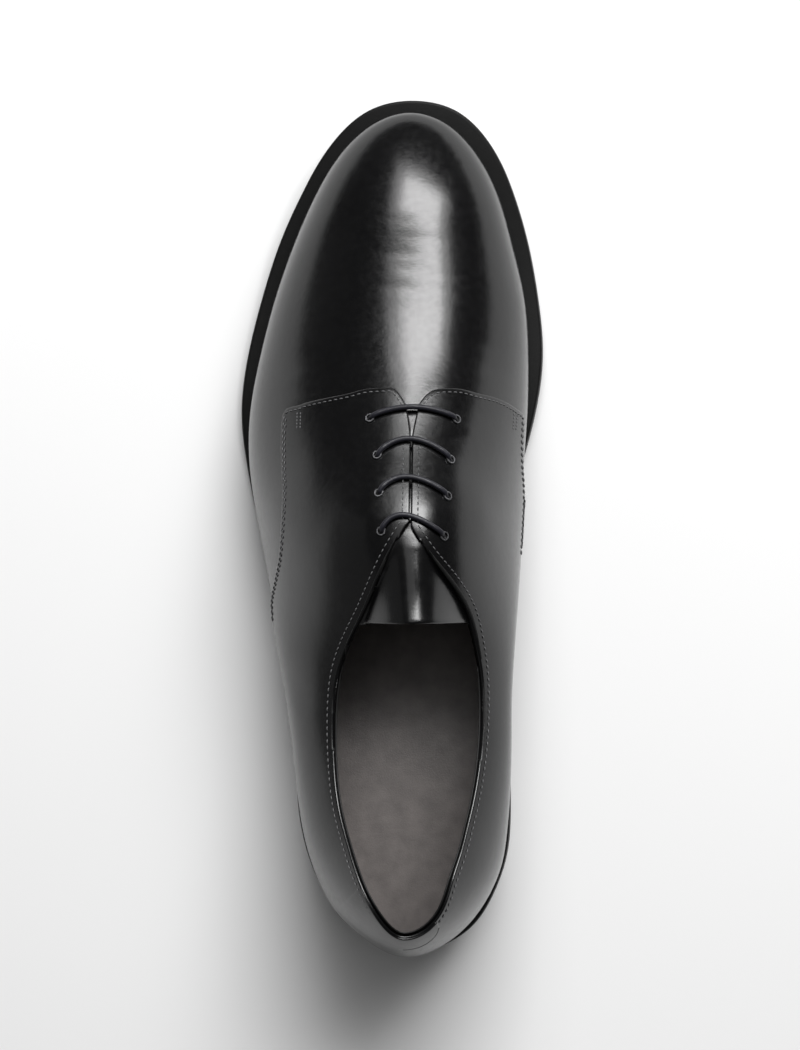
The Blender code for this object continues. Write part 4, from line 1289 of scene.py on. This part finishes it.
def make_welt():
    """Band all round under the upper, as one closed ring."""
    count = WELT_ROWS
    w = np.linspace(0, 2 * HALF_GIRTH, count, endpoint=False)
    edge = sole_outline(w)
    toward = inward(sole_outline, w)
    hole = welt_inner_plan(w)
    rings = [(edge + toward * row.inset, row.share) for row in WELT_EDGE]
    rings += [(hole, 1.0), (hole, 0.0)]
    points = []
    for plan, share in rings:
        z = welt_bottom(plan[:, 1]) + WELT_THICK * share
        points += list(np.column_stack([plan, z]))
    faces = []
    for level in range(len(rings)):
        above = (level + 1) % len(rings)
        for i in range(count):
            k = (i + 1) % count
            faces.append([level * count + k, level * count + i, above * count + i, above * count + k])
    welt = make_mesh("welt_band", points, faces, welt_leather, WELT_SHARP_ANGLE)
    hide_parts("welt")
    return welt


def sock_outline(w):
    """Edge of the sock, just inside the upper's wall at the feather."""
    station = HALF_GIRTH - np.abs(w - HALF_GIRTH) + HEEL_STATION
    thin = np.clip((SOCK_THIN_WALL_START - station) / WALL_BLEND, 0, 1)
    depth = feather_tuck(w) + WALL + 2 * GAP - thin * (WALL + QUARTER_STEP - QUARTER_WALL)
    return upper_outline(w) + inward(upper_outline, w) * depth[..., None]


def make_tongue():
    """Arched sheet under the facings, free above the throat, and its stitches."""
    names = ("left", "right", "open_middle", "open_half", "lift")
    y_up = column(TONGUE, "y")[::-1]
    track = {name: cubic(y_up, column(TONGUE, name)[::-1]) for name in names}

    def surface(x, y):
        slope_x, slope_y = slopes(vamp_height, x, y, SLOPE_STEP)
        steep = np.sqrt(1 + slope_x ** 2 + slope_y ** 2)
        open_share = np.clip(np.abs(x - track["open_middle"](y)) / track["open_half"](y), 0, 1)
        gain = np.maximum(track["lift"](y), 0) * (1 - open_share ** 2) ** 1.5
        room = TONGUE_LACE_ROOM * np.clip((y - TONGUE_ROOM_START) / TONGUE_ROOM_BLEND, 0, 1)
        return vamp_height(x, y) - (inner_depth(y) + TONGUE_GAP + room) * steep + gain

    y = np.linspace(y_up[0] + TONGUE_TRIM, y_up[-1] - TONGUE_TRIM, TONGUE_ROWS)[:, None]
    share = np.linspace(-1, 1, TONGUE_COLUMNS)[None, :]
    left = track["left"](y)
    right = track["right"](y)
    x = (left + right) / 2 + ((right - left) / 2 - TONGUE_TRIM) * share
    y = np.broadcast_to(y, x.shape)
    grid = np.stack([x, y, surface(x, y)], axis=-1)
    faces = grid_faces(*x.shape, flip=True).tolist()
    thick = TONGUE_THICK - TONGUE_LACE_ROOM
    tongue = leather_sheet("tongue_panel", grid.reshape(-1, 3), faces, 0.0, -thick, black_leather)
    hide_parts("tongue")
    first = left[0, 0] + TONGUE_STITCH_SIDE_INSET
    last = right[0, 0] - TONGUE_STITCH_SIDE_INSET
    x = np.linspace(first, last, TONGUE_STITCH_POINTS)
    y = np.full_like(x, y_up[0] + TONGUE_STITCH_INSET)
    path = np.stack([x, y, surface(x, y)], axis=-1)
    ways = ways_up(surface, x, y, TONGUE_SLOPE_STEP)
    points, faces = stitches(path, ways, STITCH_PITCH, STITCH_LENGTH)
    return tongue, make_mesh("tongue_stitches", points, faces, thread)


# Rows of the sole and sock, closer together round the heel and the toe
SOLE_ROWS = np.concatenate([
    HEEL_STATION + (-90 - HEEL_STATION) * np.linspace(0, 1, 40) ** 1.6,
    np.linspace(-86, 100, 80),
    TOE_STATION - (TOE_STATION - 104) * np.linspace(1, 0, 40) ** 1.6,
])
HEEL_ROWS = HEEL_STATION + (HEEL_BREAST_STATION - HEEL_STATION) * np.linspace(0, 1, 60) ** 1.3


def sock_top(y):
    return feather_height(y) + SOCK_THICK


def top_piece_top(y):
    return np.full_like(y, TOP_PIECE_THICK)


def stack_bottom(y):
    return top_piece_top(y) + GAP


def stack_top(y):
    return sole_bottom(y) - GAP


def make_sole():
    outsole = make_slab(
        "outsole_body", sole_outline, SOLE_ROWS, OUTSOLE_EDGE, sole_bottom, sole_top,
        sole_leather,
    )
    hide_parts("outsole")
    stack = make_slab(
        "heel_lifts", sole_outline, HEEL_ROWS, STACK_EDGE, stack_bottom, stack_top,
        sole_leather, HEEL_BREAST_HOLLOW,
    )
    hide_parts("heel_stack")
    piece = make_slab(
        "heel_top_piece", sole_outline, HEEL_ROWS, TOP_PIECE_EDGE, np.zeros_like, top_piece_top,
        rubber, HEEL_BREAST_HOLLOW,
    )
    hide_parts("top_piece")
    sock = make_slab(
        "sock", sock_outline, SOLE_ROWS, SOCK_EDGE, feather_height, sock_top, sock_leather,
    )
    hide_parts("sock_liner")
    return outsole, stack, piece, sock


def bar_plan(bar, share):
    """Plan point of a lace bar, on the parabola through its three points."""
    ends = np.array([[bar.lateral_x, bar.lateral_y], [bar.medial_x, bar.medial_y]])
    middle = np.array([bar.middle_x, bar.middle_y])
    control = 2 * middle - ends.mean(axis=0)
    return ends[0] * (1 - share) ** 2 + control * 2 * share * (1 - share) + ends[1] * share ** 2


def eyelet_place(code):
    """Where an eyelet is, seen from above, from its bar's number and side."""
    bar = LACE_BARS[int(code[0]) - 1]
    if code[1] == "L":
        return np.array([bar.lateral_x, bar.lateral_y])
    return np.array([bar.medial_x, bar.medial_y])


def lace_stops():
    """Points that the lace passes, each with the way up and how flat it is."""
    stops = []

    def add(plan, height, flat, aside=0.0):
        point, up = above_quarter(plan[0] + aside, plan[1], height - QUARTER_STEP)
        stops.append((point, up, flat))

    over = QUARTER_STEP + GAP + LACE_RADIUS
    for number, (here, there) in enumerate(zip(LACE_WAY, LACE_WAY[1:])):
        start = eyelet_place(here)
        end = eyelet_place(there)
        if number % 2 == 0:
            bar = LACE_BARS[int(here[0]) - 1]
            add(start, LACE_HOLE_HEIGHT, 0.0)
            for share in BAR_SHARES:
                along = share if here[1] == "L" else 1 - share
                dip = LACE_END_DIP * (min(share, 1 - share) < LACE_END_SHARE)
                add(bar_plan(bar, along), over - dip, 0.0)
            add(end, LACE_HOLE_HEIGHT, 0.0)
            continue
        aside = LACE_ASIDE.get(here + there, 0.0)
        reach = LACE_RUN_REACH / np.linalg.norm(end - start)
        last = 1.0 if number == len(LACE_WAY) - 2 else 1 - reach
        for share in np.linspace(reach, last, LACE_RUN_POINTS):
            add(start + (end - start) * share, -LACE_DEPTH, LACE_PRESS, aside)
    return stops


def make_lace():
    """One braided cord through the eight eyelets; both ends are hidden."""
    stops = lace_stops()
    points = np.array([stop[0] for stop in stops])
    along = distances(points)
    spots = np.arange(0.0, along[-1], LACE_STEP)
    path = np.stack([steady(along, points[:, k])(spots) for k in range(3)], axis=1)
    ways = unit(between(spots, along, [stop[1] for stop in stops]))
    press = np.interp(spots, along, [stop[2] for stop in stops])
    angles = 2 * math.pi * np.arange(LACE_SIDES) / LACE_SIDES
    turn = 2 * math.pi * spots[:, None] / BRAID_PERIOD
    weave = np.sin(turn + BRAID_STRANDS * angles) * np.sin(turn - BRAID_STRANDS * angles)
    radii = LACE_RADIUS - BRAID_RISE * (0.5 - 0.5 * weave)
    points, faces = swept(path, radii, LACE_SIDES, ways, press)
    lace = make_mesh("lace", points, faces, lace_cord)
    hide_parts("lace_bar_1", "lace_bar_2", "lace_bar_3", "lace_bar_4")
    return lace


def add_camera():
    data = bpy.data.cameras.new("camera")
    data.lens = CAMERA_LENS
    data.sensor_width = 36.0
    data.clip_end = 20.0
    camera = bpy.data.objects.new("camera", data)
    place_at = Vector(CAMERA_PLACE) * MM
    ahead = (Vector(CAMERA_AIM) * MM - place_at).normalized()
    right = ahead.cross(Vector((0, 1, 0))).normalized()
    up = right.cross(ahead)
    turn = Matrix((right, up, -ahead)).transposed()
    camera.matrix_world = Matrix.Translation(place_at) @ turn.to_4x4()
    bpy.context.scene.collection.objects.link(camera)
    bpy.context.scene.camera = camera
    return camera


def add_floor():
    bpy.ops.mesh.primitive_plane_add(size=8.0, location=(0, 0, 0))
    floor = bpy.context.object
    floor.name = "floor"
    material, tree, shader = new_material("white_floor", (0.72, 0.72, 0.72), 0.9)
    grain = noise(tree, scaled_place(tree), 3.0, 2.0)
    shade = ramp(tree, grain, [(0.0, (0.71, 0.71, 0.71)), (1.0, (0.73, 0.73, 0.73))])
    tree.links.new(shade, shader.inputs["Base Color"])
    floor.data.materials.append(material)


# Lights: the way to each from the shoe, as degrees from straight up and degrees
# round from the toe towards the medial side, its distance and size in metres
Light = namedtuple("Light", "name from_up round distance width height power")
LIGHTS = [
    Light("toe_softbox", 41.0, 18.0, 1.60, 1.10, 0.66, 25.0),
    Light("toe_softbox_halo", 41.0, 18.0, 1.62, 1.70, 0.95, 21.0),
    Light("lateral_softbox", 70.0, -100.0, 1.6, 2.2, 1.4, 1.2),
    Light("overhead_softbox", 8.0, 0.0, 1.7, 1.2, 1.2, 3.6),
]
AMBIENT = 0.07


def add_lights():
    world = bpy.data.worlds.new("studio")
    world.use_nodes = True
    world.node_tree.nodes["Background"].inputs["Color"].default_value = (AMBIENT, AMBIENT, AMBIENT, 1.0)
    bpy.context.scene.world = world
    for light in LIGHTS:
        data = bpy.data.lights.new(light.name, "AREA")
        data.shape = "RECTANGLE"
        data.size = light.width
        data.size_y = light.height
        data.energy = light.power
        thing = bpy.data.objects.new(light.name, data)
        tilt = math.radians(light.from_up)
        turn = math.radians(light.round)
        way = Vector((math.sin(tilt) * math.sin(turn), math.sin(tilt) * math.cos(turn), math.cos(tilt)))
        thing.location = way * light.distance
        thing.rotation_euler = way.to_track_quat("Z", "Y").to_euler()
        bpy.context.scene.collection.objects.link(thing)


add_camera()
add_floor()
add_lights()
slots = {
    "upper_leather": [
        make_vamp(), make_quarters(), make_lining(), make_stitches(), *make_dog_tail(),
    ],
    "lace_cord": [make_lace()],
}
slots["upper_leather"] += make_tongue()
outsole, stack, top_piece, sock = make_sole()
slots["sole_leather"] = [outsole, stack, make_welt()]
slots["heel_rubber"] = [top_piece]
slots["sock_leather"] = [sock]
for slot, pieces in slots.items():
    for piece in pieces:
        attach(piece, "root")
for name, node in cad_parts.items():
    if name.startswith("eyelet"):
        node.data.materials.clear()
        node.data.materials.append(eyelet_metal)
    if name == "insole":
        node.data.materials.clear()
        node.data.materials.append(board)

bpy.context.scene.view_settings.view_transform = "Standard"
